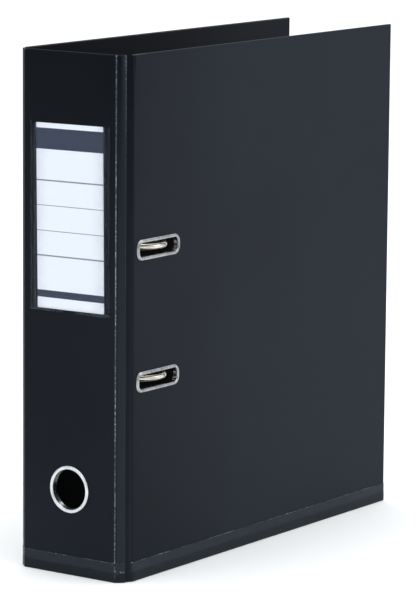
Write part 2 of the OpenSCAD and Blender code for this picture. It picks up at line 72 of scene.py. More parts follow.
def stand_camera():
    ahead = Vector((math.sin(heading) * math.cos(dip), math.cos(heading) * math.cos(dip), -math.sin(dip)))
    level = Vector((math.cos(heading), -math.sin(heading), 0))
    above = level.cross(ahead)
    right = level * math.cos(roll) + above * math.sin(roll)
    up = above * math.cos(roll) - level * math.sin(roll)
    data = bpy.data.cameras.new("camera")
    data.lens = lens
    data.sensor_width = 36
    data.shift_y = 0.007
    camera = bpy.data.objects.new("camera", data)
    camera.matrix_world = Matrix((right, up, -ahead)).transposed().to_4x4()
    camera.location = eye
    bpy.context.collection.objects.link(camera)
    bpy.context.scene.camera = camera


def soft_light(name, place, target, width, height, power, colour=(1, 1, 1)):
    data = bpy.data.lights.new(name, "AREA")
    data.shape = "RECTANGLE"
    data.size = width
    data.size_y = height
    data.energy = power
    data.color = colour
    lamp = bpy.data.objects.new(name, data)
    lamp.location = place
    lamp.rotation_euler = (Vector(target) - Vector(place)).to_track_quat("-Z", "Y").to_euler()
    bpy.context.collection.objects.link(lamp)


def put(tree, kind, inputs=None, **settings):
    """Adds a node; each input is a value or another node's output."""
    made = tree.nodes.new(kind)
    for key, value in settings.items():
        setattr(made, key, value)
    for key, value in (inputs or {}).items():
        if isinstance(value, bpy.types.NodeSocket):
            tree.links.new(value, made.inputs[key])
        else:
            made.inputs[key].default_value = value
    return made


def object_place(tree):
    """Where a point lies on its piece, in metres."""
    return put(tree, "ShaderNodeTexCoord").outputs["Object"]


def stretched(tree, place, scale):
    """The place, drawn out or pressed together along each axis."""
    return put(tree, "ShaderNodeMapping", {"Vector": place, "Scale": scale}).outputs["Vector"]


def clouds(tree, place, scale, detail, **more):
    """Soft noise, from 0 to 1."""
    made = put(tree, "ShaderNodeTexNoise", {"Vector": place, "Scale": scale, "Detail": detail, **more})
    return made.outputs["Fac"]


def spread(tree, value, low, high, start=0.0, stop=1.0):
    """Runs from low to high while the value runs from start to stop."""
    made = put(tree, "ShaderNodeMapRange", {"Value": value, "From Min": start, "From Max": stop,
                                            "To Min": low, "To Max": high})
    return made.outputs["Result"]


def between(tree, amount, low, high, **settings):
    """A colour between two others."""
    return put(tree, "ShaderNodeMix", {0: amount, 6: low, 7: high}, data_type="RGBA", **settings).outputs[2]


def work_out(tree, operation, a, b):
    return put(tree, "ShaderNodeMath", {0: a, 1: b}, operation=operation).outputs[0]


def raised(tree, height, strength, depth, under=None):
    """The surface's direction, with fine relief laid over it."""
    inputs = {"Height": height, "Strength": strength, "Distance": depth}
    if under is not None:
        inputs["Normal"] = under
    return put(tree, "ShaderNodeBump", inputs).outputs["Normal"]


def finish_with(material, inputs, normal=None):
    """Gives a material its one shader and joins that to the output."""
    tree = material.node_tree
    if normal is not None:
        inputs = {**inputs, "Normal": normal}
    principled = put(tree, "ShaderNodeBsdfPrincipled", inputs)
    put(tree, "ShaderNodeOutputMaterial", {"Surface": principled.outputs[0]})
    return material


def blank_material(name):
    material = bpy.data.materials.new(name)
    material.use_nodes = True
    material.node_tree.nodes.clear()
    return material, material.node_tree


def floor_material():
    material, tree = blank_material("pale_floor")
    tone = spread(tree, clouds(tree, object_place(tree), 0.6, 3.0), 0.955, 0.975)
    return finish_with(material, {"Base Color": tone, "Roughness": 0.9, "Specular IOR Level": 0.1})


def lay_floor():
    mesh = bpy.data.meshes.new("floor")
    corners = [(-floor_half, -floor_half, 0), (floor_half, -floor_half, 0),
               (floor_half, floor_half, 0), (-floor_half, floor_half, 0)]
    mesh.from_pydata(corners, [], [(0, 1, 2, 3)])
    floor = bpy.data.objects.new("floor", mesh)
    mesh.materials.append(floor_material())
    bpy.context.collection.objects.link(floor)


world = bpy.data.worlds.new("studio")
world.use_nodes = True
sky = world.node_tree
direction = put(sky, "ShaderNodeTexCoord")
heights = put(sky, "ShaderNodeSeparateXYZ", {"Vector": direction.outputs["Generated"]})
brightness = spread(sky, heights.outputs["Z"], 0.62, 1.22, 0.02, 0.55)
sky.nodes["Background"].inputs["Color"].default_value = (0.955, 0.98, 1.0, 1)
sky.links.new(brightness, sky.nodes["Background"].inputs["Strength"])
bpy.context.scene.world = world
bpy.context.scene.view_settings.view_transform = "Standard"
stand_camera()
lay_floor()
soft_light("overhead", (-0.2, -0.2, 3.2), (0, 0, 0), 3.5, 3.5, 42)
soft_light("cover_side", (1.6, -2.6, 1.5), (0, 0, 0.15), 1.6, 1.6, 12, (0.94, 0.97, 1))
soft_light("spine_side", (-3.0, 0.9, 1.0), (0, 0, 0.15), 1.0, 1.4, 3, (0.94, 0.97, 1))

# ---- Covers ----
# Each cover is stiff grey board wrapped in dark grained foil, turned in round the edges, with
# paper lining glued inside. The front cover is punched for its two slot rims.
turned_edge = 0.9 * mm
corner_round = 0.6 * mm
lining_proud = 0.2 * mm
rim_room = 0.54 * mm
foil_lo, foil_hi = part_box("front_cover_foil")
board_lo, board_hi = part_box("front_board")
face_x, fore_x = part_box("spine_foil")[0].x, foil_hi.x
front_y, back_y = foil_lo.y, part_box("back_cover_foil")[1].y
foot_z, top_z = foil_lo.z, foil_hi.z
wall = foil_hi.y - foil_lo.y
foil_t = board_lo.y - foil_lo.y
board_t = board_hi.y - board_lo.y
cover_x = board_lo.x - foil_t


def round_corners(points, radii, arc=6):
    """A closed outline with each corner replaced by an arc of its own radius."""
    made = []
    count = len(points)
    for i, (corner, radius) in enumerate(zip(points, radii)):
        here = Vector(corner)
        before = (Vector(points[i - 1]) - here).normalized()
        after = (Vector(points[(i + 1) % count]) - here).normalized()
        half = before.angle(after) / 2
        if radius <= 0 or abs(half - math.pi / 2) < 1e-4:
            made.append(here)
            continue
        middle = here + (before + after).normalized() * radius / math.sin(half)
        start = here + before * radius / math.tan(half)
        turn = math.pi - 2 * half
        sign = 1 if before.x * after.y - before.y * after.x < 0 else -1
        for k in range(arc + 1):
            made.append(middle + Matrix.Rotation(sign * turn * k / arc, 2) @ (start - middle))
    return made


def rectangle(low_a, low_b, high_a, high_b, radius, arc=6):
    corners = [(low_a, low_b), (high_a, low_b), (high_a, high_b), (low_a, high_b)]
    return round_corners(corners, [radius] * 4, arc)


def circle(a, b, radius, count=48):
    steps = [2 * math.pi * k / count for k in range(count)]
    return [Vector((a + radius * math.cos(t), b + radius * math.sin(t))) for t in steps]


def turned(outline, left):
    """The outline, run anticlockwise if left is true."""
    area = sum(p.x * q.y - q.x * p.y for p, q in zip(outline, outline[1:] + outline[:1]))
    return list(outline) if (area > 0) == left else list(reversed(outline))


def outward(outline):
    """For each point of an anticlockwise outline, the vector that moves it out by one unit."""
    made = []
    for i, here in enumerate(outline):
        into = (here - outline[i - 1]).normalized()
        away = (outline[(i + 1) % len(outline)] - here).normalized()
        side = (Vector((into.y, -into.x)) + Vector((away.y, -away.x))).normalized()
        made.append(side / max(0.3, side.dot(Vector((into.y, -into.x)))))
    return made


planes = {
    "xy": lambda p, h: (p.x, p.y, h),
    "xz": lambda p, h: (p.x, h, p.y),
    "yz": lambda p, h: (h, p.x, p.y)}


def stack(name, outlines, levels, plane):
    """A closed solid from rings of outlines: the first is the rim, the others are holes. Each
    level gives its height and how far the outlines grow out of the solid there."""
    mesh = bmesh.new()
    loops = [turned(list(o), k == 0) for k, o in enumerate(outlines)]
    sides = [outward(o) for o in loops]
    rings = []
    for height, grow in levels:
        ring = [[mesh.verts.new(planes[plane](p + n * grow, height)) for p, n in zip(loop, side)]
                for loop, side in zip(loops, sides)]
        rings.append(ring)
    for low, high in zip(rings, rings[1:]):
        for a, b in zip(low, high):
            for i in range(len(a)):
                j = (i + 1) % len(a)
                mesh.faces.new((a[i], a[j], b[j], b[i]))
    for ring, (height, grow) in ((rings[0], levels[0]), (rings[-1], levels[-1])):
        flat = [[(p + n * grow).to_3d() for p, n in zip(loop, side)] for loop, side in zip(loops, sides)]
        verts = [v for loop in ring for v in loop]
        for triple in tessellate_polygon(flat):
            if len(set(triple)) == 3:
                mesh.faces.new([verts[k] for k in triple])
    return settle(name, mesh)


def settle(name, mesh, crease=40):
    """Turns a finished bmesh into an object with outward faces and smooth rounds."""
    bmesh.ops.recalc_face_normals(mesh, faces=mesh.faces[:])
    data = bpy.data.meshes.new(name)
    mesh.to_mesh(data)
    mesh.free()
    data.shade_smooth()
    data.set_sharp_from_angle(angle=math.radians(crease))
    made = bpy.data.objects.new(name, data)
    bpy.context.collection.objects.link(made)
    return made


def soft_levels(low, high, soft, steps=4, flat=0.6 * mm):
    """Levels of a slab with rounded edges, and a flat margin just inside them."""
    quarter = [math.pi / 2 * k / steps for k in range(steps + 1)]
    rise = [(low + soft * (1 - math.cos(t)), soft * (math.sin(t) - 1)) for t in quarter]
    fall = [(low + high - h, g) for h, g in reversed(rise)]
    return [(low, -soft - flat)] + rise + fall + [(high, -soft - flat)]


def slab(name, outlines, low, high, soft, plane):
    return stack(name, outlines, soft_levels(low, high, soft), plane)


def join(name, pieces):
    """One object from several closed pieces."""
    mesh = bmesh.new()
    for piece in pieces:
        mesh.from_mesh(piece.data)
    for piece in pieces:
        old = piece.data
        bpy.data.objects.remove(piece)
        bpy.data.meshes.remove(old)
    return settle(name, mesh)


def new_group(name, inputs, outputs):
    """An empty shader group with float inputs and outputs, and its end nodes."""
    group = bpy.data.node_groups.new(name, "ShaderNodeTree")
    for label, value in inputs.items():
        socket = group.interface.new_socket(label, in_out="INPUT", socket_type="NodeSocketFloat")
        socket.default_value = value
    for label in outputs:
        group.interface.new_socket(label, in_out="OUTPUT", socket_type="NodeSocketFloat")
    return group, group.nodes.new("NodeGroupInput"), group.nodes.new("NodeGroupOutput")


def use_group(tree, group, inputs):
    """Puts a shader group into a material's tree, with values of its own."""
    return put(tree, "ShaderNodeGroup", inputs, node_tree=group)


def grain_group():
    """Pressed leather-like grain: small round pebbles with fine creases, and broad shade."""
    given_sizes = {"Size": 0.6 * mm, "Crease": 0.5}
    group, given, out = new_group("foil_grain", given_sizes, ["Height", "Shade", "Broad"])
    place = object_place(group)
    count = work_out(group, "DIVIDE", 1.0, given.outputs["Size"])
    drift = put(group, "ShaderNodeTexNoise", {"Vector": place, "Scale": 900.0, "Detail": 2.0})
    shift = put(group, "ShaderNodeVectorMath", {0: drift.outputs["Color"], 1: (0.3 * mm, 0.3 * mm, 0.3 * mm)},
                operation="MULTIPLY")
    moved = put(group, "ShaderNodeVectorMath", {0: place, 1: shift.outputs["Vector"]}, operation="ADD")
    cells = put(group, "ShaderNodeTexVoronoi", {"Vector": moved.outputs["Vector"], "Scale": count},
                feature="SMOOTH_F1")
    pebble = cells.outputs["Distance"]
    fine = work_out(group, "MULTIPLY", clouds(group, place, 4200.0, 2.0), given.outputs["Crease"])
    height = work_out(group, "ADD", work_out(group, "SUBTRACT", 1.0, pebble), fine)
    group.links.new(height, out.inputs["Height"])
    group.links.new(pebble, out.inputs["Shade"])
    group.links.new(clouds(group, place, 7.0, 4.0), out.inputs["Broad"])
    return group


def wear_and_glint_group():
    """Small bright specks along edges and creases, denser where the first input is high: partly scuffs in the
    foil, partly painted glints.
    """
    group, given, out = new_group("edge_wear_and_glints", {"Wear_and_light": 0.0, "Speck": 880.0, "Cover": 0.15}, ["Mask"])
    place = object_place(group)
    speck = clouds(group, place, given.outputs["Speck"], 3.0, Roughness=0.65)
    start = work_out(group, "SUBTRACT", 0.62, given.outputs["Cover"])
    points = spread(group, speck, 0.0, 1.0, start, 0.66)
    patches = spread(group, clouds(group, place, 38.0, 2.0), 0.35, 1.0, 0.35, 0.6)
    strong = spread(group, given.outputs["Wear_and_light"], 0.0, 1.0, 0.36, 0.9)
    mask = work_out(group, "MULTIPLY", work_out(group, "MULTIPLY", points, patches), strong)
    group.links.new(mask, out.inputs["Mask"])
    return group


grain = grain_group()
wear_and_glint = wear_and_glint_group()


def foil_material(name, dark, light, paler_tone, worn_and_glinting, gloss, shine, light_grade, cover=0.15):
    """Dark plastic foil: grain in its height and gloss, and a slow change of tone along the given
    axis, which is painted light and shade. A paler tone and bright specks follow the point
    attribute; they stand for scuffs, painted glints and painted light."""
    material, tree = blank_material(name)
    pressed = use_group(tree, grain, {"Size": 0.62 * mm})
    wear_and_light = put(tree, "ShaderNodeAttribute", attribute_name="wear_and_light").outputs["Fac"]
    wear_and_glint_specks = use_group(tree, wear_and_glint, {"Wear_and_light": wear_and_light, "Cover": cover})
    tone = spread(tree, pressed.outputs["Broad"], 0.0, 1.0, 0.3, 0.7)
    parts = put(tree, "ShaderNodeSeparateXYZ", {"Vector": object_place(tree)})
    lit_axis, start, stop = light_grade
    along = spread(tree, parts.outputs[lit_axis], 0.0, 1.0, start, stop)
    blend = put(tree, "ShaderNodeMix", {0: 0.7, 2: tone, 3: along})
    pale = between(tree, wear_and_light, between(tree, blend.outputs[0], dark, light), paler_tone)
    colour = between(tree, wear_and_glint_specks.outputs["Mask"], pale, worn_and_glinting)
    sheen = spread(tree, pressed.outputs["Shade"], gloss, gloss + 0.16)
    normal = raised(tree, pressed.outputs["Height"], 0.6, 0.05 * mm)
    return finish_with(material, {"Base Color": colour, "Roughness": sheen,
                                  "Specular IOR Level": shine}, normal)


# The cover foil grows lighter away from the spine, along X: painted light.
cover_foil = foil_material("cover_foil", (0.0042, 0.0056, 0.0090, 1), (0.0120, 0.0158, 0.0235, 1),
                           (0.022, 0.027, 0.038, 1), (0.50, 0.55, 0.62, 1), 0.46, 0.075,
                           ("X", cover_x - 10 * mm, cover_x + 110 * mm))
# The back cover's foil is a darker copy of the cover foil, and darker still near the spine: painted shade.
shaded_back_foil = foil_material("back_cover_foil", (0.0030, 0.0038, 0.0056, 1), (0.0100, 0.0125, 0.0175, 1),
                          (0.018, 0.022, 0.030, 1), (0.50, 0.55, 0.62, 1), 0.46, 0.05,
                          ("X", cover_x - 10 * mm, cover_x + 200 * mm))


def mark_rub(piece, amount):
    """Stores an amount from 0 to 1 at each point for the foil's material: scuffs, painted glints, painted
    light, and a paler tone.
    """
    layer = piece.data.attributes.new("wear_and_light", "FLOAT", "POINT")
    layer.data.foreach_set("value", [amount(v.co) for v in piece.data.vertices])


def near(value, place, reach):
    """One at the place, falling smoothly to nothing at the reach."""
    return max(0.0, 1 - abs(value - place) / reach) ** 2


def dress(piece, material, body, slot, *nodes):
    """Gives a piece its material, its body and the nodes it stands for; slot, its finish's name, is not used.
    """
    piece.data.materials.clear()
    piece.data.materials.append(material)
    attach(piece, body)
    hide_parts(*nodes)
    return piece


def more_points(outline, step):
    """The outline with extra points on its long stretches, so that they can carry scuffs and painted glints.
    """
    made = []
    for here, there in zip(outline, outline[1:] + outline[:1]):
        made.append(here)
        parts = max(1, int((there - here).length / step))
        made += [here.lerp(there, k / parts) for k in range(1, parts)]
    return made


def cover_skin(name, side, holes):
    """The foil of a cover: side is 1 for the front cover and -1 for the back."""
    low, high = sorted((side * front_y, side * (front_y + wall - lining_proud)))
    rim = more_points(rectangle(cover_x, foot_z, fore_x, top_z, corner_round, 4), 18 * mm)
    skin = slab(name, [rim] + holes, low, high, turned_edge, "xz")
    outer = side * front_y

    # Bright scuffs and painted glints along the outer face's edges: the top edge near the groove, the fore
    # edge, and the groove side near the top.
    def worn_and_glinting(at):
        edge = near(at.z, top_z, 1.2 * mm) * (0.08 + 0.8 * near(at.x, cover_x, 60 * mm))
        fore = near(at.x, fore_x, 1.0 * mm) * 0.45
        groove_side = near(at.x, cover_x, 0.8 * mm) * near(at.z, top_z, 30 * mm) * 0.8
        return max(edge, fore, groove_side) if abs(at.y - outer) < 1.2 * mm else 0.0

    mark_rub(skin, worn_and_glinting)
    return skin


rim_boxes = [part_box("slot_rim_lower"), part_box("slot_rim_upper")]
slot_long = 38.6 * mm
slot_high = 8.4 * mm
slot_corner = 3.0 * mm
slot_middles = [((lo.x + hi.x) / 2, (lo.z + hi.z) / 2) for lo, hi in rim_boxes]


def slot_outline(middle, grow, arc=8):
    half_a, half_b = slot_long / 2 + grow, slot_high / 2 + grow
    return rectangle(middle[0] - half_a, middle[1] - half_b, middle[0] + half_a, middle[1] + half_b,
                     slot_corner + grow, arc)


front_skin = cover_skin("front_cover_skin", 1, [slot_outline(m, rim_room) for m in slot_middles])
dress(front_skin, cover_foil, "front_cover", "cover_foil", "front_cover_foil")
back_skin = cover_skin("back_cover_skin", -1, [])
dress(back_skin, shaded_back_foil, "back_cover", "cover_foil", "back_cover_foil")


def fibre_material(name, dark, light, scale, depth, rough, shine=0.12):
    """Paper or board: short fibres in its tone and height."""
    material, tree = blank_material(name)
    place = object_place(tree)
    fibre = clouds(tree, stretched(tree, place, (1.0, 1.0, 0.35)), scale, 5.0, Roughness=0.7)
    mixed = work_out(tree, "MULTIPLY", fibre, clouds(tree, place, 22.0, 3.0))
    colour = between(tree, spread(tree, mixed, 0.0, 1.0, 0.12, 0.4), dark, light)
    normal = raised(tree, fibre, 0.5, depth)
    return finish_with(material, {"Base Color": colour, "Roughness": rough,
                                  "Specular IOR Level": shine}, normal)


def paint_node(material, *names):
    """A CAD node whose shape is right keeps it, and takes this material."""
    for name in names:
        node = frame["nodes"][name]
        if not node.data.materials:
            node.data.materials.append(material)
        for place in node.material_slots:
            place.material = material


grey_board = fibre_material("grey_board", (0.20, 0.185, 0.16, 1), (0.34, 0.32, 0.285, 1), 900.0,
                            0.08 * mm, 0.9)
# The lining's tones are its own dark colour, darkened further to stand in for shade near the spine: painted
# shade.
shaded_lining_paper = fibre_material("shaded_lining_paper", (0.0034, 0.0043, 0.0058, 1), (0.0085, 0.0100, 0.0130, 1), 700.0,
                              0.04 * mm, 0.8, 0.05)
paint_node(grey_board, "front_board", "back_board", "spine_board", "front_hinge_strip", "back_hinge_strip")
paint_node(shaded_lining_paper, "front_lining", "back_lining", "spine_lining")

# ---- Spine ----
# The spine is a flat board with a narrow leaning strip of board at each side. One foil covers
# all three, creased hard between them. Its creases and strip edges carry bright scuffs and
# painted glints, and the strips carry a paler painted light.
lean = math.radians(40)
hinges = {joint["name"]: Vector(joint["pos_m"]) for joint in frame["joints"] if "pos_m" in joint}
axis = Vector((hinges["cover_hinge"].x, hinges["cover_hinge"].y))
groove = cover_x - axis.x


def strip_point(along, inward, side=1):
    """A point of a leaning strip: along it from its hinge line, and inward from that line."""
    a = axis.x - along * math.sin(lean) + inward * math.cos(lean)
    b = axis.y + along * math.cos(lean) + inward * math.sin(lean)
    return Vector((a, side * b))


crease_along = (axis.x - board_t * math.cos(lean) - face_x) / math.sin(lean)
crease_y = strip_point(crease_along, -board_t).y


def crease_point(depth, side=1):
    return Vector((face_x + depth, side * (crease_y + depth * math.tan(lean / 2))))


def crease_ridge(side):
    """Points round the outer crease, pressed up to a fine ridge with a dip each side of it."""
    tip = crease_point(0, side)
    strip_way = (strip_point(groove, -board_t, side) - tip).normalized()
    face_way = Vector((0, math.copysign(side, -crease_y * side)))
    out = Vector((-math.cos(lean / 2), side * math.copysign(math.sin(lean / 2), crease_y)))
    shape = [(2.4, 0), (1.5, -0.03), (0.9, 0.0), (0.5, 0.06), (0.2, 0.11)]
    made = [tip + strip_way * d * mm + out * h * mm for d, h in shape]
    made.append(tip + out * 0.04 * mm)
    made += [tip + face_way * d * mm + out * h * mm for d, h in reversed(shape)]
    return made


def spine_outline(back):
    """The wall of spine and strips in X and Y; back is how deep its inner face lies."""
    inner = back - board_t
    made = []
    for side in (1, -1):
        ends = round_corners([strip_point(groove, inner, side), strip_point(groove, -board_t, side),
                              strip_point(groove + 3 * mm, -board_t, side), crease_point(back, side)],
                             [0.3 * mm, 0.7 * mm, 0, 0], 5)[:-2]
        half = ends + crease_ridge(side)
        made += half if side == 1 else list(reversed(half))
    return [crease_point(back, 1)] + made + [crease_point(back, -1)]


def end_levels(low, high, soft, between):
    """Slab levels with more rings between its ends."""
    whole = soft_levels(low, high, soft)
    half = len(whole) // 2
    return whole[:half] + [(h, 0.0) for h in between] + whole[half:]


ring_bore = 12.3 * mm
ring_lo, ring_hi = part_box("finger_ring")
ring_z = (ring_lo.z + ring_hi.z) / 2
ring_room = 0.75 * mm

# Rings of points lie closer together toward the top, where the scuffs and painted light change quickly.
spine_rings = [top_z - d * mm for d in (200, 150, 110, 75, 45, 24, 12, 6, 3, 1.8)]
spine_skin = stack("spine_skin", [spine_outline(wall - lining_proud)],
                   end_levels(foot_z, top_z, 0.7 * mm, spine_rings), "xy")


def cut_round(piece, middle_a, middle_b, radius, low, high, plane):
    """Cuts a round hole clean through a piece."""
    cutter = stack("cutter", [circle(middle_a, middle_b, radius, 72)], [(low, 0.0), (high, 0.0)], plane)
    cut = piece.modifiers.new("hole", "BOOLEAN")
    cut.operation = "DIFFERENCE"
    cut.solver = "EXACT"
    cut.object = cutter
    bpy.context.view_layer.update()
    made = bpy.data.meshes.new_from_object(piece.evaluated_get(bpy.context.evaluated_depsgraph_get()))
    piece.modifiers.clear()
    piece.data = made
    bpy.data.objects.remove(cutter)
    made.shade_smooth()
    made.set_sharp_from_angle(angle=math.radians(40))


cut_round(spine_skin, 0, ring_z, ring_bore + ring_room, face_x - 5 * mm, face_x + 5 * mm, "yz")


def spine_scuffs_and_light(at):
    """Creases carry scuffs and a painted glint all the way; strip edges carry scuffs and a painted
    highlight, mostly near the top; the strips are paler with painted light, fading out toward the
    top; the top edge has a thin painted highlight line.
    """
    side = 1 if at.y < 0 else -1
    flat = Vector((at.x, at.y))
    beside = (flat - crease_point(0, side)).length
    crease = max(0.0, 1 - beside / (0.75 * mm)) * (0.95 if side == 1 else 0.3)
    edge = (flat - strip_point(groove, -board_t, side)).length
    strip = max(0.0, 1 - edge / (1.5 * mm)) * (0.5 + 0.45 * near(at.z, top_z, 90 * mm))
    # Painted light: away from the top, the leaning strips are paler, as if they caught more light.
    strip_painted_light = 0.0
    if abs(at.y) > abs(crease_y) + 0.7 * mm:
        strip_painted_light = 0.34 * (1 - near(at.z, top_z, 280 * mm)) * (1 if side == 1 else 0.3)
    corner = near(at.z, top_z, 2.2 * mm) * max(near(beside, 0, 1.6 * mm), near(edge, 0, 1.9 * mm)) * 1.5
    # Painted highlight: a thin light line along the top edge.
    rim = near(at.z, top_z, 1.0 * mm) * 0.15
    return min(1.25, max(crease, strip, strip_painted_light, corner, rim)) if at.x < face_x + 6 * mm else 0.0


mark_rub(spine_skin, spine_scuffs_and_light)
# The spine's foil grows darker toward the top and lighter toward the foot: painted light and shade.
spine_foil = foil_material("spine_foil", (0.0018, 0.0026, 0.0042, 1), (0.0112, 0.0138, 0.0188, 1),
                           (0.034, 0.043, 0.058, 1), (0.42, 0.48, 0.57, 1), 0.44, 0.04,
                           ("Z", top_z, foot_z + 40 * mm), 0.17)
dress(spine_skin, spine_foil, "spine", "spine_foil", "spine_foil")

# ---- Hinge grooves ----
# Between strip and cover there is no board, only the foil and the lining glued together. They
# lie pressed down in a groove.


def smooth_path(points, steps=5):
    """A smooth open path through the points."""
    made = []
    ends = [points[0] * 2 - points[1]] + points + [points[-1] * 2 - points[-2]]
    for p, q, r, s in zip(ends, ends[1:], ends[2:], ends[3:]):
        for k in range(steps):
            t = k / steps
            made.append(0.5 * (2 * q + (r - p) * t + (2 * p - 5 * q + 4 * r - s) * t * t
                               + (3 * q - p - 3 * r + s) * t ** 3))
    return made + [points[-1]]


def groove_sheet(side, cover, node):
    """The foil and lining pressed into one groove; it bends between the spine and the cover."""
    thick = 0.55 * mm
    soft = 0.1 * mm
    away = -math.copysign(1, axis.y) * side
    rise = [(groove + 0.35 * mm, -1.25 * mm), (groove - 0.1 * mm, -1.0 * mm), (groove - 0.55 * mm, -0.6 * mm),
            (groove - 1.0 * mm, -0.3 * mm), (0.3 * mm, -0.15 * mm)]
    slope = [(a, w - 0.3 * mm) for a, w in rise[:4]] + [(0.4 * mm, -0.3 * mm)]

    def under(points):
        return [(a - 0.35 * mm if a > 0.5 * mm else a, w + thick) for a, w in points]

    def face(strip_side, cover_side):
        points = [strip_point(a, w, side) for a, w in strip_side]
        points += [Vector((axis.x + a, side * axis.y + away * w)) for a, w in reversed(cover_side)]
        return smooth_path(points)

    outline = face(rise, slope) + list(reversed(face(under(rise), under(slope))))
    levels = [(foot_z, -soft), (foot_z + soft, 0), (top_z - 0.5 * mm, 0), (top_z - 0.4 * mm, -soft)]
    sheet = stack(cover.replace("cover", "groove"), [outline], levels, "xy")

    def paler_tone(at):
        from_top = 1 - near(at.z, top_z, 300 * mm)
        return 0.16 * from_top * min(1.0, max(0.0, (at.x - axis.x) / mm))

    mark_rub(sheet, paler_tone)
    sheet.data.materials.append(spine_foil)
    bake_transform(sheet)
    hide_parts(node)


groove_sheet(1, "front_cover", "front_hinge_foil")
groove_sheet(-1, "back_cover", "back_hinge_foil")

# ---- Foot bands ----
# A smoother foil is wrapped round the bottom edge of the spine and of both covers. It is doubled
# over low down, its top edge is cut a little unevenly, and it has fine wrinkles.
band_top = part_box("front_bottom_band")[1].z
fold_top = 6.5 * mm


def band_levels(bottom):
    """How far a band stands out at each height: doubled up to the fold, then single up to its cut
    top edge."""
    return [(bottom, -0.95 * mm), (bottom + 0.03 * mm, -0.45 * mm), (bottom + 0.2 * mm, -0.1 * mm),
            (bottom + 0.6 * mm, 0.30 * mm), (fold_top - 0.25 * mm, 0.30 * mm), (fold_top, 0.22 * mm),
            (fold_top + 1.2 * mm, 0.20 * mm), (band_top - 1.0 * mm, 0.20 * mm),
            (band_top - 0.25 * mm, 0.24 * mm), (band_top, 0.16 * mm), (band_top + 0.05 * mm, -0.3 * mm)]


def roughen(band):
    """Uneven top edge, and wrinkles across the lower, doubled part."""
    for v in band.data.vertices:
        at = v.co
        if at.z > band_top - 1.1 * mm:
            at.z += 0.35 * mm * noise.noise(Vector((at.x, at.y, 0)) * 90) * min(1, (at.z - fold_top) / mm)
        elif at.z > fold_top - 0.4 * mm:
            at.z += 0.1 * mm * noise.noise(Vector((at.x, at.y, 7)) * 60)


def band_scuffs_and_light(at):
    """Bright scuffs along the cut top edge; a painted highlight along the fold, strongest on the front strip;
    scuffs and a painted glint along the front crease all the way.
    """
    edge = near(at.z, band_top, 0.8 * mm) * 0.95
    strip = strip_point(groove, -board_t, 1).y < at.y < crease_y
    fold = near(at.z, fold_top, 0.6 * mm) * (1.1 if strip and at.x < face_x + 6 * mm else 0.3)
    crease = max(0.0, 1 - (Vector((at.x, at.y)) - crease_point(0, 1)).length / (0.8 * mm))
    return max(edge, fold, crease)


def band_material():
    """Smooth foil with long shallow wrinkles, with bright specks where its edges are scuffed and where its
    fold carries a painted highlight.
    """
    material, tree = blank_material("foot_band")
    place = object_place(tree)
    crumple = clouds(tree, stretched(tree, place, (0.45, 0.45, 1.6)), 130.0, 4.0, Distortion=1.2)
    pressed = use_group(tree, grain, {"Size": 0.5 * mm, "Crease": 0.2})
    wear_and_light = put(tree, "ShaderNodeAttribute", attribute_name="wear_and_light").outputs["Fac"]
    wear_and_glint_specks = use_group(tree, wear_and_glint, {"Wear_and_light": wear_and_light, "Cover": 0.14})
    parts = put(tree, "ShaderNodeSeparateXYZ", {"Vector": place})
    doubled = spread(tree, parts.outputs["Z"], 0.0, 1.0, fold_top - 0.8 * mm, fold_top + 0.2 * mm)
    above = between(tree, crumple, (0.0115, 0.0155, 0.0205, 1), (0.021, 0.028, 0.037, 1))
    below = between(tree, crumple, (0.006, 0.008, 0.011, 1), (0.0125, 0.0165, 0.022, 1))
    base = between(tree, doubled, below, above)
    colour = between(tree, wear_and_glint_specks.outputs["Mask"], base, (0.34, 0.40, 0.46, 1))
    wrinkle = raised(tree, crumple, 0.7, 0.25 * mm)
    normal = raised(tree, pressed.outputs["Height"], 0.35, 0.03 * mm, wrinkle)
    return finish_with(material, {"Base Color": colour, "Roughness": spread(tree, crumple, 0.26, 0.42),
                                  "Specular IOR Level": 0.09}, normal)


foot_band = band_material()


def cover_band(name, side, body, node):
    low, high = sorted((side * front_y, side * (front_y + wall)))
    outline = more_points(rectangle(cover_x, low, fore_x, high, 0.8 * mm, 5), 2.5 * mm)
    band = stack(name, [outline], band_levels(0), "xy")
    roughen(band)
    mark_rub(band, band_scuffs_and_light)
    dress(band, foot_band, body, "foot_band", node)


cover_band("front_foot_band", 1, "front_cover", "front_bottom_band")
cover_band("back_foot_band", -1, "back_cover", "back_bottom_band")
spine_rim = more_points(spine_outline(wall), 2.5 * mm)
spine_band = stack("spine_foot_band", [spine_rim], band_levels(0), "xy")
roughen(spine_band)
mark_rub(spine_band, band_scuffs_and_light)
dress(spine_band, foot_band, "spine", "foot_band", "spine_bottom_band")

# ---- Slot rims ----
# Each slot in the front cover has a rim pressed from thin steel and nickel plated: a domed
# flange outside, a short barrel through the board, and an edge rolled over inside.


def around(name, outline, profile, plane, base):
    """A closed profile, given as distance out from the outline and height, run round it."""
    mesh = bmesh.new()
    loop = turned(list(outline), True)
    rings = [[mesh.verts.new(planes[plane](p + n * out * mm, base + height * mm)) for out, height in profile]
             for p, n in zip(loop, outward(loop))]
    for a, b in zip(rings, rings[1:] + rings[:1]):
        for i in range(len(profile)):
            j = (i + 1) % len(profile)
            mesh.faces.new((a[i], a[j], b[j], b[i]))
    return settle(name, mesh, 50)


def plated_group():
    """What shows on plated steel: faint rolling lines, small dull spots and cloudy patches."""
    group, given, out = new_group("plating", {"Lines": 1500.0}, ["Height", "Dull"])
    place = object_place(group)
    line = clouds(group, stretched(group, place, (1.0, 1.0, 0.06)), given.outputs["Lines"], 3.0)
    dull = work_out(group, "MULTIPLY", line, clouds(group, place, 160.0, 4.0))
    group.links.new(line, out.inputs["Height"])
    group.links.new(dull, out.inputs["Dull"])
    return group


plating = plated_group()


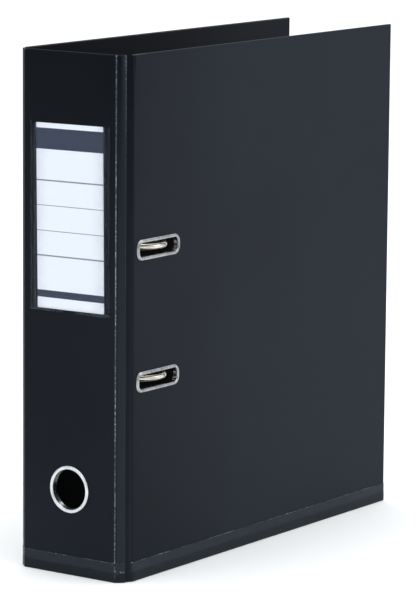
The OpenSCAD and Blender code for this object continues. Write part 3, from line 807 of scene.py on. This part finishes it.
def metal_material(name, dark, light, smooth, dull, depth=0.004 * mm, lines=1500.0):
    """Nickel-plated or plain steel, with its tone and gloss changed by the plating."""
    material, tree = blank_material(name)
    plate = use_group(tree, plating, {"Lines": lines})
    tone = spread(tree, plate.outputs["Dull"], 0.0, 1.0, 0.12, 0.4)
    normal = raised(tree, plate.outputs["Height"], 0.4, depth)
    return finish_with(material, {"Base Color": between(tree, tone, light, dark), "Metallic": 1.0,
                                  "Roughness": spread(tree, tone, smooth, dull)}, normal)


rim_nickel = metal_material("rim_nickel", (0.22, 0.22, 0.23, 1), (0.43, 0.43, 0.445, 1), 0.14, 0.28,
                            0.001 * mm, 600.0)
rim_flange = [(0, 0.3), (0.05, -0.35), (0.3, -0.75), (0.75, -0.97), (1.25, -0.98), (1.75, -0.78),
              (2.1, -0.45), (2.3, -0.06), (2.25, 0.05)]
rim_barrel = [(0.5, 0.05), (0.5, 2.45)]
rim_roll = [(1.65, 2.48), (1.7, 2.66), (1.5, 2.84), (0.95, 2.9), (0.4, 2.85), (0.08, 2.6)]
rim_profile = rim_flange + rim_barrel + rim_roll
for name, middle in zip(("slot_rim_lower", "slot_rim_upper"), slot_middles):
    rim = around(name + "_pressed", slot_outline(middle, 0, 10), rim_profile, "xz", front_y)
    dress(rim, rim_nickel, "front_cover", "slot_rim", name)

# ---- Finger ring ----
# The finger hole near the foot of the spine has a bright turned ring. Its barrel goes through
# the spine and is rolled over a flat steel washer inside.
ring_nickel = metal_material("ring_nickel", (0.52, 0.54, 0.57, 1), (0.72, 0.745, 0.775, 1), 0.2, 0.34)
washer_steel = metal_material("washer_steel", (0.42, 0.42, 0.42, 1), (0.6, 0.6, 0.6, 1), 0.3, 0.45)
ring_flange = [(0, 0.2), (0.04, -0.45), (0.28, -0.78), (0.7, -0.9), (1.5, -0.9), (1.95, -0.78),
               (2.22, -0.45), (2.3, 0.04)]
ring_barrel = [(0.7, 0.04), (0.7, 3.0)]
ring_roll = [(1.5, 3.02), (1.68, 3.2), (1.6, 3.45), (1.1, 3.6), (0.5, 3.55), (0.1, 3.25)]
ring_profile = ring_flange + ring_barrel + ring_roll
ring = around("finger_ring_turned", circle(0, ring_z, ring_bore, 96), ring_profile, "yz", face_x)
dress(ring, ring_nickel, "spine", "finger_ring", "finger_ring")
washer_lo, washer_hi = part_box("finger_ring_washer")
washer_r = (washer_hi.z - washer_lo.z) / 2
washer_bore = ring_bore + 0.74 * mm
washer = slab("finger_ring_backing", [circle(0, ring_z, washer_r, 96), circle(0, ring_z, washer_bore, 96)],
              washer_lo.x, washer_hi.x, 0.15 * mm, "yz")
dress(washer, washer_steel, "spine", "finger_ring", "finger_ring_washer")

# ---- Label pocket and card ----
# A clear film pocket is welded to the spine at both sides and at its foot, open at the top,
# with a notch for the thumb. The card in it has blank printed bands and thin writing lines.
card_lo, card_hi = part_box("label_card")
pocket_lo, pocket_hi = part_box("label_pocket")
notch_half = 4.5 * mm
film = 0.2 * mm


def pocket_height(y, z):
    """How far the film's outer face stands off the spine."""
    side = abs(y) - card_hi.y
    foot = card_lo.z - z
    out = max(side, foot)
    full = face_x - pocket_lo.x
    if out < 1.0 * mm:
        return full
    fall = 0.3 * mm + 0.45 * mm * max(0.0, 1 - (out - 1.0 * mm) / (1.1 * mm)) ** 2
    weld = 0.1 * mm * math.exp(-((side - 2.6 * mm) / (0.35 * mm)) ** 2)
    return max(fall - weld, film + 0.02 * mm)


def pocket_film():
    half = pocket_hi.y
    offsets = [0, 0.25, 0.7, 1.4, 1.9, 2.2, 2.5, 2.7, 3.0, 3.3, 3.79, 4.5]
    across = [-half + d * mm for d in offsets]
    across += [-notch_half - 12 * mm, -notch_half, 0, notch_half, notch_half + 12 * mm]
    across += [half - d * mm for d in reversed(offsets)]
    steps = [pocket_lo.z, pocket_lo.z + 0.3 * mm, card_lo.z - 1.5 * mm, card_lo.z - 1.2 * mm,
             card_lo.z - 0.99 * mm, card_lo.z]
    count = 14
    steps += [card_lo.z + (pocket_hi.z - card_lo.z) * k / count for k in range(1, count + 1)]
    mesh = bmesh.new()
    grid = [[mesh.verts.new((face_x - pocket_height(y, z), y, z)) for y in across] for z in steps]
    for low, high, z in zip(grid, grid[1:], steps):
        for i, y in enumerate(across[:-1]):
            if z < card_lo.z - 0.01 * mm and -notch_half <= y < notch_half:
                continue
            mesh.faces.new((low[i], low[i + 1], high[i + 1], high[i]))
    loose = [v for v in mesh.verts if not v.link_faces]
    bmesh.ops.delete(mesh, geom=loose, context="VERTS")
    for v in mesh.verts:
        v.co.x += film / 2
    made = settle("label_pocket_film", mesh)
    thick = made.modifiers.new("film", "SOLIDIFY")
    thick.thickness = film
    thick.offset = 0
    data = bpy.data.meshes.new_from_object(made.evaluated_get(bpy.context.evaluated_depsgraph_get()))
    made.modifiers.clear()
    made.data = data
    layer = data.attributes.new("weld", "FLOAT", "POINT")
    welds_and_edge_highlight = []
    for v in data.vertices:
        side = abs(v.co.y) - card_hi.y
        # The line 4.3 mm out, near the film's outer edge, is a painted highlight; the line 0.9 mm out and the
        # lines at the foot are the cloudy welds.
        line = max(0.42 * near(side, 0.9 * mm, 1.3 * mm), 0.3 * near(side, 4.3 * mm, 0.8 * mm))
        foot = near(v.co.z, pocket_lo.z, 0.5 * mm) + near(v.co.z, card_lo.z - 0.9 * mm, 0.4 * mm) * 0.6
        border = 0.03 if side > 0 or v.co.z < card_lo.z else 0.0
        welds_and_edge_highlight.append(min(1.0, max(line, foot, border)))
    layer.data.foreach_set("value", welds_and_edge_highlight)
    return made


def film_material():
    """Clear film: almost nothing over the card, cloudier along its welds, and a painted highlight line near
    its outer side edges.
    """
    material, tree = blank_material("pocket_film")
    weld = put(tree, "ShaderNodeAttribute", attribute_name="weld").outputs["Fac"]
    haze = clouds(tree, object_place(tree), 260.0, 3.0)
    cloudy = work_out(tree, "MULTIPLY", weld, haze)
    colour = between(tree, cloudy, (0.05, 0.06, 0.08, 1), (0.22, 0.26, 0.35, 1))
    normal = raised(tree, haze, 0.3, 0.03 * mm)
    return finish_with(material, {"Base Color": colour, "Roughness": 0.16,
                                  "Alpha": spread(tree, cloudy, 0.03, 0.78)}, normal)


def card_material():
    """Pale card printed with two plain dark bands and four thin writing lines."""
    material, tree = blank_material("label_card")
    tall = card_hi.z - card_lo.z
    place = object_place(tree)
    square = put(tree, "ShaderNodeMapping", {"Vector": place, "Rotation": (card_tilt, 0, 0)})
    parts = put(tree, "ShaderNodeSeparateXYZ", {"Vector": square.outputs["Vector"]})
    up = spread(tree, parts.outputs["Z"], 0.0, 1.0, card_lo.z - card_sunk, card_hi.z - card_sunk)
    ramp = put(tree, "ShaderNodeValToRGB", {"Fac": up})
    ramp.color_ramp.interpolation = "CONSTANT"
    paper, band, rule = (0.79, 0.835, 0.91, 1), (0.030, 0.040, 0.072, 1), (0.20, 0.235, 0.29, 1)
    line = 0.65 * mm
    marks = [(6.2 * mm, band), (10.6 * mm, paper)]
    for k in range(4):
        height = tall - (35.0 + 15.2 * k) * mm
        marks += [(height, rule), (height + line, paper)]
    marks += [(tall - 15.8 * mm, band), (tall - 3.4 * mm, paper)]
    stops = ramp.color_ramp.elements
    stops[0].color = paper
    stops.remove(stops[1])
    for height, colour in sorted(marks):
        stops.new(height / tall).color = colour
    fibre = clouds(tree, place, 900.0, 4.0)
    shade = spread(tree, fibre, 0.95, 1.02)
    printed = between(tree, 1.0, ramp.outputs["Color"], shade, blend_type="MULTIPLY")
    normal = raised(tree, fibre, 0.3, 0.01 * mm)
    return finish_with(material, {"Base Color": printed, "Roughness": 0.5, "Specular IOR Level": 0.2}, normal)


# The card sits a little crooked, low and to one side in its pocket.
card_tilt = math.radians(0.6)
card_sunk = 0.3 * mm
card_aside = 0.4 * mm
card_middle = (card_lo.z + card_hi.z) / 2
dress(pocket_film(), film_material(), "spine", "pocket_film", "label_pocket")
card = slab("label_card_printed", [rectangle(card_lo.y, card_lo.z, card_hi.y, card_hi.z, 0.5 * mm)],
            card_lo.x, card_hi.x, 0.08 * mm, "yz")
for v in card.data.vertices:
    offset = v.co.z - card_middle
    v.co.z -= v.co.y * card_tilt + card_sunk
    v.co.y += offset * card_tilt - card_aside
dress(card, card_material(), "card", "label_card", "label_card")

# ---- Base plate ----
# A pressed sheet of plated steel carries the mechanism. Its long sides are folded up, ears hold
# the arches' axle and the lever's pin, and two long beads stiffen it.
sheet_steel = metal_material("sheet_steel", (0.40, 0.40, 0.41, 1), (0.62, 0.62, 0.62, 1), 0.24, 0.4)
plate_lo, plate_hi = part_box("base_plate")
sheet_t = 1.2 * mm
plate_face = plate_hi.y - sheet_t
rivet_inset = 6.5 * mm
rivet_x = [plate_lo.x + rivet_inset, plate_hi.x - rivet_inset]
rivet_z = [plate_lo.z + rivet_inset, plate_hi.z - rivet_inset]
wire_r = 1.9 * mm
arch_lo, arch_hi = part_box("arch_wire")
arch_z = [arch_lo.z + wire_r, arch_hi.z - wire_r]
post_x = arch_hi.x - wire_r
axle = Vector((hinges["arch_swing"].x, hinges["arch_swing"].y))
pivot = hinges["lever_lift"]
mech_z = (plate_lo.z + plate_hi.z) / 2
bearing_off = 31 * mm
ear_off = 5.1 * mm
pin_r = 1.5 * mm
rivet_r = 2 * mm
post_shank_r = 1.5 * mm
hole_room = 0.05 * mm


def half_turn(steps=20):
    """Even angles from nothing to half a turn."""
    return [math.pi * k / steps for k in range(steps + 1)]


def ear(name, a, b, reach, bore, base, low, high, plane):
    """A folded ear: straight sides from the plate to a round end with a bore in it."""
    if plane == "xy":
        rim = [Vector((a - reach, base)), Vector((a + reach, base))]
        rim += [Vector((a + reach * math.cos(t), b - reach * math.sin(t))) for t in half_turn()]
    else:
        rim = [Vector((base, b - reach)), Vector((base, b + reach))]
        rim += [Vector((a - reach * math.sin(t), b + reach * math.cos(t))) for t in half_turn()]
    return slab(name, [rim, circle(a, b, bore, 32)], low, high, 0.2 * mm, plane)


def base_plate():
    holes = [circle(post_x, z, post_shank_r + hole_room, 24) for z in arch_z]
    holes += [circle(x, z, rivet_r + hole_room, 24) for x in rivet_x for z in rivet_z]
    pieces = [slab("flat", [rectangle(plate_lo.x, plate_lo.z, plate_hi.x, plate_hi.z, 5 * mm, 10)] + holes,
                   plate_face, plate_hi.y, 0.25 * mm, "xz")]
    for x in (plate_lo.x, plate_hi.x - sheet_t):
        side = rectangle(plate_face - 2 * mm, plate_lo.z + 5 * mm, plate_face + 0.6 * mm,
                         plate_hi.z - 5 * mm, 1.2 * mm)
        pieces.append(slab("flange", [side], x, x + sheet_t, 0.3 * mm, "yz"))
    for x in (plate_lo.x + 14 * mm, post_x - 12 * mm):
        bead = rectangle(x - 1.6 * mm, plate_lo.z + 14 * mm, x + 1.6 * mm, plate_lo.z + 44 * mm, 1.5 * mm)
        pieces.append(slab("bead", [bead], plate_face - 0.5 * mm, plate_face + 0.6 * mm, 0.45 * mm, "xz"))
    for z in (mech_z - bearing_off, mech_z + bearing_off):
        pieces.append(ear("bearing", axle.x, axle.y, 4.1 * mm, wire_r + 0.06 * mm, plate_face + 0.3 * mm,
                          z - sheet_t / 2, z + sheet_t / 2, "xy"))
    for x in (pivot.x - ear_off - sheet_t, pivot.x + ear_off):
        pieces.append(ear("lever_ear", pivot.y, pivot.z, 3.5 * mm, pin_r + 0.04 * mm, plate_face + 0.3 * mm,
                          x, x + sheet_t, "yz"))
    return join("base_plate_pressed", pieces)


dress(base_plate(), sheet_steel, "back_cover", "plated_sheet", "base_plate")

# ---- Rivets ----
# Four rivets hold the plate to the back cover. Each has a broad low dome outside the cover and
# a small rolled head on the plate.


def shape_group(name, numbers):
    """A Geometry Nodes tree with named inputs, and its end nodes."""
    tree = bpy.data.node_groups.new(name, "GeometryNodeTree")
    tree.interface.new_socket("Geometry", in_out="INPUT", socket_type="NodeSocketGeometry")
    for label in numbers:
        tree.interface.new_socket(label, in_out="INPUT", socket_type="NodeSocketFloat")
    tree.interface.new_socket("Finish", in_out="INPUT", socket_type="NodeSocketMaterial")
    tree.interface.new_socket("Geometry", in_out="OUTPUT", socket_type="NodeSocketGeometry")
    return tree, tree.nodes.new("NodeGroupInput"), tree.nodes.new("NodeGroupOutput")


def shape_end(tree, given, out, geometry):
    """Ends a tree: real meshes instead of instances, and the material."""
    real = put(tree, "GeometryNodeRealizeInstances", {"Geometry": geometry})
    finish = put(tree, "GeometryNodeSetMaterial", {"Geometry": real.outputs[0],
                                                   "Material": given.outputs["Finish"]})
    tree.links.new(finish.outputs[0], out.inputs["Geometry"])


def grow_shape(source, tree, values, crease=40):
    """Runs a tree on an object and returns the result as a plain mesh object."""
    runner = source.modifiers.new("shape", "NODES")
    runner.node_group = tree
    for item in tree.interface.items_tree:
        if item.in_out == "INPUT" and item.name in values:
            runner[item.identifier] = values[item.name]
    bpy.context.view_layer.update()
    data = bpy.data.meshes.new_from_object(source.evaluated_get(bpy.context.evaluated_depsgraph_get()))
    name = source.name
    source.modifiers.clear()
    bpy.data.objects.remove(source)
    mesh = bmesh.new()
    mesh.from_mesh(data)
    bmesh.ops.remove_doubles(mesh, verts=mesh.verts[:], dist=1e-7)
    made = settle(name + "_made", mesh, crease)
    for material in data.materials:
        made.data.materials.append(material)
    return made


def four_corners_tree():
    """Sets the given piece at the four corners of an upright rectangle."""
    tree, given, out = shape_group("four_corners", ["Across", "Up", "Middle X", "Middle Z"])
    grid = put(tree, "GeometryNodeMeshGrid", {"Size X": given.outputs["Across"],
                                              "Size Y": given.outputs["Up"],
                                              "Vertices X": 2, "Vertices Y": 2})
    middle = put(tree, "ShaderNodeCombineXYZ", {"X": given.outputs["Middle X"],
                                                "Z": given.outputs["Middle Z"]})
    stood = put(tree, "GeometryNodeTransform", {"Geometry": grid.outputs["Mesh"],
                                                "Translation": middle.outputs[0],
                                                "Rotation": (math.pi / 2, 0, 0)})
    placed = put(tree, "GeometryNodeInstanceOnPoints", {"Points": stood.outputs[0],
                                                        "Instance": given.outputs["Geometry"]})
    shape_end(tree, given, out, placed.outputs[0])
    return tree


def turned_piece(name, a, b, levels, plane, count=32):
    """A solid turned round the point a, b: each level is its height and its radius in mm."""
    return stack(name, [circle(a, b, mm, count)], [(h, (r - 1) * mm) for h, r in levels], plane)


fastener_nickel = metal_material("fastener_nickel", (0.5, 0.5, 0.5, 1), (0.74, 0.74, 0.74, 1), 0.2, 0.34)
rolled_head = [(-0.7, 0.5), (-0.66, 2.4), (-0.5, 3.1), (-0.25, 3.38), (0.05, 3.4)]
low_dome = [(-0.03, 4.5), (0.2, 4.45), (0.5, 4.0), (0.8, 3.1), (0.95, 1.9), (1.0, 0.6)]
rivet_levels = [(plate_face + h * mm, r) for h, r in rolled_head]
rivet_levels += [(plate_face + 0.06 * mm, rivet_r / mm), (back_y - 0.04 * mm, rivet_r / mm)]
rivet_levels += [(back_y + h * mm, r) for h, r in low_dome]
rivet = turned_piece("rivets", 0, 0, rivet_levels, "xz", 40)
rivets = grow_shape(rivet, four_corners_tree(), {
    "Across": rivet_x[1] - rivet_x[0], "Up": rivet_z[1] - rivet_z[0], "Middle X": sum(rivet_x) / 2,
    "Middle Z": sum(rivet_z) / 2, "Finish": fastener_nickel})
dress(rivets, fastener_nickel, "back_cover", "fasteners", "base_rivets")

# ---- Arch wire, posts and spring ----
# One bent nickel-plated wire makes both arches, the axle between them and the crank that the
# lever presses on. Its tips close on two turned posts, and a coil spring pushes it open.
bright_wire = metal_material("bright_wire", (0.50, 0.46, 0.39, 1), (0.80, 0.76, 0.68, 1), 0.14, 0.26)
spring_steel = metal_material("spring_steel", (0.16, 0.165, 0.18, 1), (0.36, 0.37, 0.39, 1), 0.28, 0.42)
arch_r = (post_x - axle.x) / 2
tip_y = front_y + 30 * mm
crown_y = arch_lo.y + wire_r
crank_low, crank_high = pivot.z - 9 * mm, pivot.z + 14 * mm
crank_bend = 3 * mm
foot_bend = 4 * mm
spring_r = 0.6 * mm


def bent_path(points, radii, arc=12):
    """Points along a wire, straight between corners and round at them."""
    made = [Vector(points[0])]
    for before, here, after, radius in zip(points, points[1:], points[2:], radii):
        here = Vector(here)
        u = (here - Vector(before)).normalized()
        w = (Vector(after) - here).normalized()
        centre = here - u * radius + w * radius
        for k in range(arc + 1):
            t = math.pi / 2 * k / arc
            spot = centre + u * radius * math.sin(t) - w * radius * math.cos(t)
            if (spot - made[-1]).length > 1e-6:
                made.append(spot)
    made.append(Vector(points[-1]))
    return made


def wire_curve(name, paths):
    data = bpy.data.curves.new(name, "CURVE")
    data.dimensions = "3D"
    for path in paths:
        line = data.splines.new("POLY")
        line.points.add(len(path) - 1)
        for point, place in zip(line.points, path):
            point.co = (*place, 1)
    made = bpy.data.objects.new(name, data)
    bpy.context.collection.objects.link(made)
    return made


def round_wire_tree():
    """A round wire of the given radius along each curve, closed at its ends."""
    tree, given, out = shape_group("round_wire", ["Radius"])
    section = put(tree, "GeometryNodeCurvePrimitiveCircle", {"Radius": given.outputs["Radius"],
                                                             "Resolution": 24})
    swept = put(tree, "GeometryNodeCurveToMesh", {"Curve": given.outputs["Geometry"],
                                                  "Profile Curve": section.outputs["Curve"],
                                                  "Fill Caps": True})
    shape_end(tree, given, out, swept.outputs[0])
    return tree


round_wire = round_wire_tree()
arch_points = [
    (post_x, tip_y, arch_z[1]), (post_x, crown_y, arch_z[1]), (axle.x, crown_y, arch_z[1]),
    (axle.x, axle.y, arch_z[1]), (axle.x, axle.y, crank_high), (pivot.x, axle.y, crank_high),
    (pivot.x, axle.y, crank_low), (axle.x, axle.y, crank_low), (axle.x, axle.y, arch_z[0]),
    (axle.x, crown_y, arch_z[0]), (post_x, crown_y, arch_z[0]), (post_x, tip_y, arch_z[0])]
arch_bends = [arch_r, arch_r, foot_bend] + [crank_bend] * 4 + [foot_bend, arch_r, arch_r]
arch = grow_shape(wire_curve("arch", [bent_path(arch_points, arch_bends, 14)]), round_wire,
                  {"Radius": wire_r, "Finish": bright_wire})
dress(arch, bright_wire, "arch", "wire", "arch_wire")


def post(name, z, node):
    """A straight post with a thicker foot, a shank in the plate and a small cone at its tip."""
    tip = tip_y + 0.25 * mm
    foot = plate_face - 6.5 * mm
    post_r, foot_r, shank_r = 2.1, 2.6, post_shank_r / mm
    levels = [(tip - 0.45 * mm, 0.3), (tip - 0.42 * mm, 0.55), (tip - 0.05 * mm, 1.35), (tip, 1.4),
              (tip + 0.02 * mm, post_r - 0.1), (tip + 0.15 * mm, post_r), (foot - 0.1 * mm, post_r),
              (foot, foot_r - 0.2), (foot + 0.2 * mm, foot_r), (plate_face - 0.15 * mm, foot_r),
              (plate_face, foot_r - 0.1), (plate_face + 0.02 * mm, shank_r),
              (plate_hi.y - 0.05 * mm, shank_r), (plate_hi.y, shank_r - 0.1)]
    dress(turned_piece(name, post_x, z, levels, "xz"), bright_wire, "back_cover", "wire", node)


post("post_lower_turned", arch_z[0], "post_lower")
post("post_upper_turned", arch_z[1], "post_upper")


def spring_path():
    """Close coils round the axle, one leg down to the plate and one under the crank."""
    coil_r = wire_r + 0.4 * mm + spring_r
    start = crank_high + crank_bend + wire_r + 1.2 * mm
    turns = 7.25
    pitch = 2 * spring_r * 0.97
    count = 28
    coil = []
    for k in range(int(turns * count) + 1):
        t = 2 * math.pi * k / count + math.pi / 2
        coil.append(Vector((axle.x + coil_r * math.cos(t), axle.y + coil_r * math.sin(t),
                            start + pitch * k / count)))
    reach = 6.05 * mm
    under = [Vector((axle.x + reach, axle.y + coil_r, crank_high - wire_r)),
             Vector((axle.x + reach, axle.y + coil_r, start - 0.6 * mm)),
             Vector((axle.x + reach - 0.4 * mm, axle.y + coil_r, start - 0.1 * mm)),
             Vector((axle.x + 0.8 * mm, axle.y + coil_r, start))]
    end = coil[-1]
    down = [Vector((end.x - 0.6 * mm, min(end.y + 2 * mm, plate_face - spring_r), end.z + 0.4 * mm)),
            Vector((axle.x + coil_r * 0.3 - 3 * mm, plate_face - spring_r, end.z + 1.2 * mm))]
    return under + coil + down


spring = grow_shape(wire_curve("spring", [spring_path()]), round_wire,
                    {"Radius": spring_r, "Finish": spring_steel})
dress(spring, spring_steel, "back_cover", "spring_steel", "arch_spring")

# ---- Lever, pin and roller ----
# The lever is a pressed steel channel with a wide thumb plate, curled over at its end. It turns
# on a pin between the plate's ears, and its nylon roller holds the wire's crank down.
lever_lo, lever_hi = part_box("lever")
lever_half = 4.8 * mm
lever_t = 1.0 * mm
thumb_half = (lever_hi.x - lever_lo.x) / 2
curl_r = 2 * mm
roller_pin_r = 1 * mm
roller_lo, roller_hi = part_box("lever_roller")
roller_y, roller_z = (roller_lo.y + roller_hi.y) / 2, (roller_lo.z + roller_hi.z) / 2


def lever_sheet():
    low, high = lever_lo.z, lever_hi.z
    curl_z = high - curl_r
    neck, shoulder = curl_z - 20 * mm, curl_z - 15 * mm
    web = [(-lever_half, low), (lever_half, low), (lever_half, neck), (thumb_half, shoulder),
           (thumb_half, curl_z), (-thumb_half, curl_z), (-thumb_half, shoulder), (-lever_half, neck)]
    web_round = [1.2 * mm, 1.2 * mm, 3 * mm, 3 * mm, 0, 0, 3 * mm, 3 * mm]
    rim = round_corners([(pivot.x + a, b) for a, b in web], web_round)
    pieces = [slab("web", [rim], lever_lo.y, lever_lo.y + lever_t, 0.3 * mm, "xz")]
    side = [(lever_lo.y + 0.3 * mm, low), (lever_hi.y, low), (lever_hi.y, low + 26 * mm),
            (lever_lo.y + 4.2 * mm, curl_z - 22 * mm), (lever_lo.y + 2.2 * mm, curl_z - 16 * mm),
            (lever_lo.y + 0.3 * mm, curl_z - 16 * mm)]
    cheek = round_corners(side, [0, 2.4 * mm, 8 * mm, 6 * mm, 1 * mm, 0])
    bores = [circle(pivot.y, pivot.z, pin_r + 0.06 * mm, 32),
             circle(roller_y, roller_z, roller_pin_r + 0.04 * mm, 28)]
    for x in (pivot.x - lever_half, pivot.x + lever_half - lever_t):
        pieces.append(slab("cheek", [cheek] + bores, x, x + lever_t, 0.25 * mm, "yz"))
    curl = circle(lever_lo.y + curl_r, curl_z, curl_r, 32)
    pieces.append(slab("curl", [curl], lever_lo.x, lever_hi.x, 0.45 * mm, "yz"))
    grip = rectangle(pivot.x - 1.4 * mm, curl_z - 13.5 * mm, pivot.x + 1.4 * mm, curl_z - 5 * mm, 1.3 * mm)
    pieces.append(slab("grip", [grip], lever_lo.y - 0.35 * mm, lever_lo.y + 0.4 * mm, 0.3 * mm, "xz"))
    return join("lever_pressed", pieces)


def pin(name, y, z, half, body, node):
    """A turned pin, the same to both sides of the lever's middle."""
    levels = [(pivot.x - a, r) for a, r in half] + [(pivot.x + a, r) for a, r in reversed(half)]
    dress(turned_piece(name, y, z, levels, "yz"), fastener_nickel, body, "fasteners", node)


dress(lever_sheet(), sheet_steel, "lever", "plated_sheet", "lever")
ear_end = ear_off + sheet_t
pin_half = [(ear_end + 0.6 * mm, 0.8), (ear_end + 0.55 * mm, 1.7), (ear_end + 0.35 * mm, 2.3),
            (ear_end + 0.02 * mm, 2.4), (ear_end + 0.01 * mm, pin_r / mm)]
pin("lever_pin_turned", pivot.y, pivot.z, pin_half, "back_cover", "lever_pin")
roller_pin_half = [(lever_half, 0.8), (lever_half - 0.15 * mm, roller_pin_r / mm)]
pin("roller_pin_turned", roller_y, roller_z, roller_pin_half, "lever", "roller_pin")


def moulded_material(name, dark, light, rough):
    """Moulded plastic: a faint spark-eroded texture and slow change of tone."""
    material, tree = blank_material(name)
    place = object_place(tree)
    spark = clouds(tree, place, 2600.0, 2.0)
    colour = between(tree, clouds(tree, place, 45.0, 3.0), dark, light)
    normal = raised(tree, spark, 0.5, 0.02 * mm)
    return finish_with(material, {"Base Color": colour,
                                  "Roughness": spread(tree, spark, rough, rough + 0.15)}, normal)


nylon = moulded_material("nylon", (0.62, 0.61, 0.56, 1), (0.76, 0.75, 0.70, 1), 0.38)
roller = slab("roller_moulded", [circle(roller_y, roller_z, (roller_hi.z - roller_lo.z) / 2, 48),
                                 circle(roller_y, roller_z, roller_pin_r + 0.07 * mm, 28)],
              roller_lo.x, roller_hi.x, 0.4 * mm, "yz")
dress(roller, nylon, "roller", "roller", "lever_roller")

# ---- Compressor bar ----
# A moulded bar slides on both posts and holds the sheets down. Ribs stiffen its long edges and
# it has a finger tab at each end.
bar_lo, bar_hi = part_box("compressor_bar")
bar_t = 2 * mm
black_plastic = moulded_material("black_plastic", (0.016, 0.016, 0.018, 1), (0.03, 0.03, 0.034, 1), 0.4)


def compressor():
    face = bar_hi.y - bar_t
    holes = [circle(post_x, z, 3 * mm, 40) for z in arch_z]
    rim = rectangle(bar_lo.x, bar_lo.z, bar_hi.x, bar_hi.z, 4 * mm, 8)
    pieces = [slab("bar", [rim] + holes, face, bar_hi.y, 0.4 * mm, "xz")]
    for x in (bar_lo.x, bar_hi.x - 1.4 * mm):
        rib = rectangle(bar_lo.y, bar_lo.z + 4 * mm, face + 0.6 * mm, bar_hi.z - 4 * mm, 0.9 * mm)
        pieces.append(slab("rib", [rib], x, x + 1.4 * mm, 0.3 * mm, "yz"))
    for z in arch_z:
        pieces.append(slab("collar", [circle(post_x, z, 4.4 * mm, 40), circle(post_x, z, 3.05 * mm, 40)],
                           face - 0.6 * mm, face + 0.4 * mm, 0.25 * mm, "xz"))
    return join("compressor_moulded", pieces)


dress(compressor(), black_plastic, "compressor", "compressor", "compressor_bar")
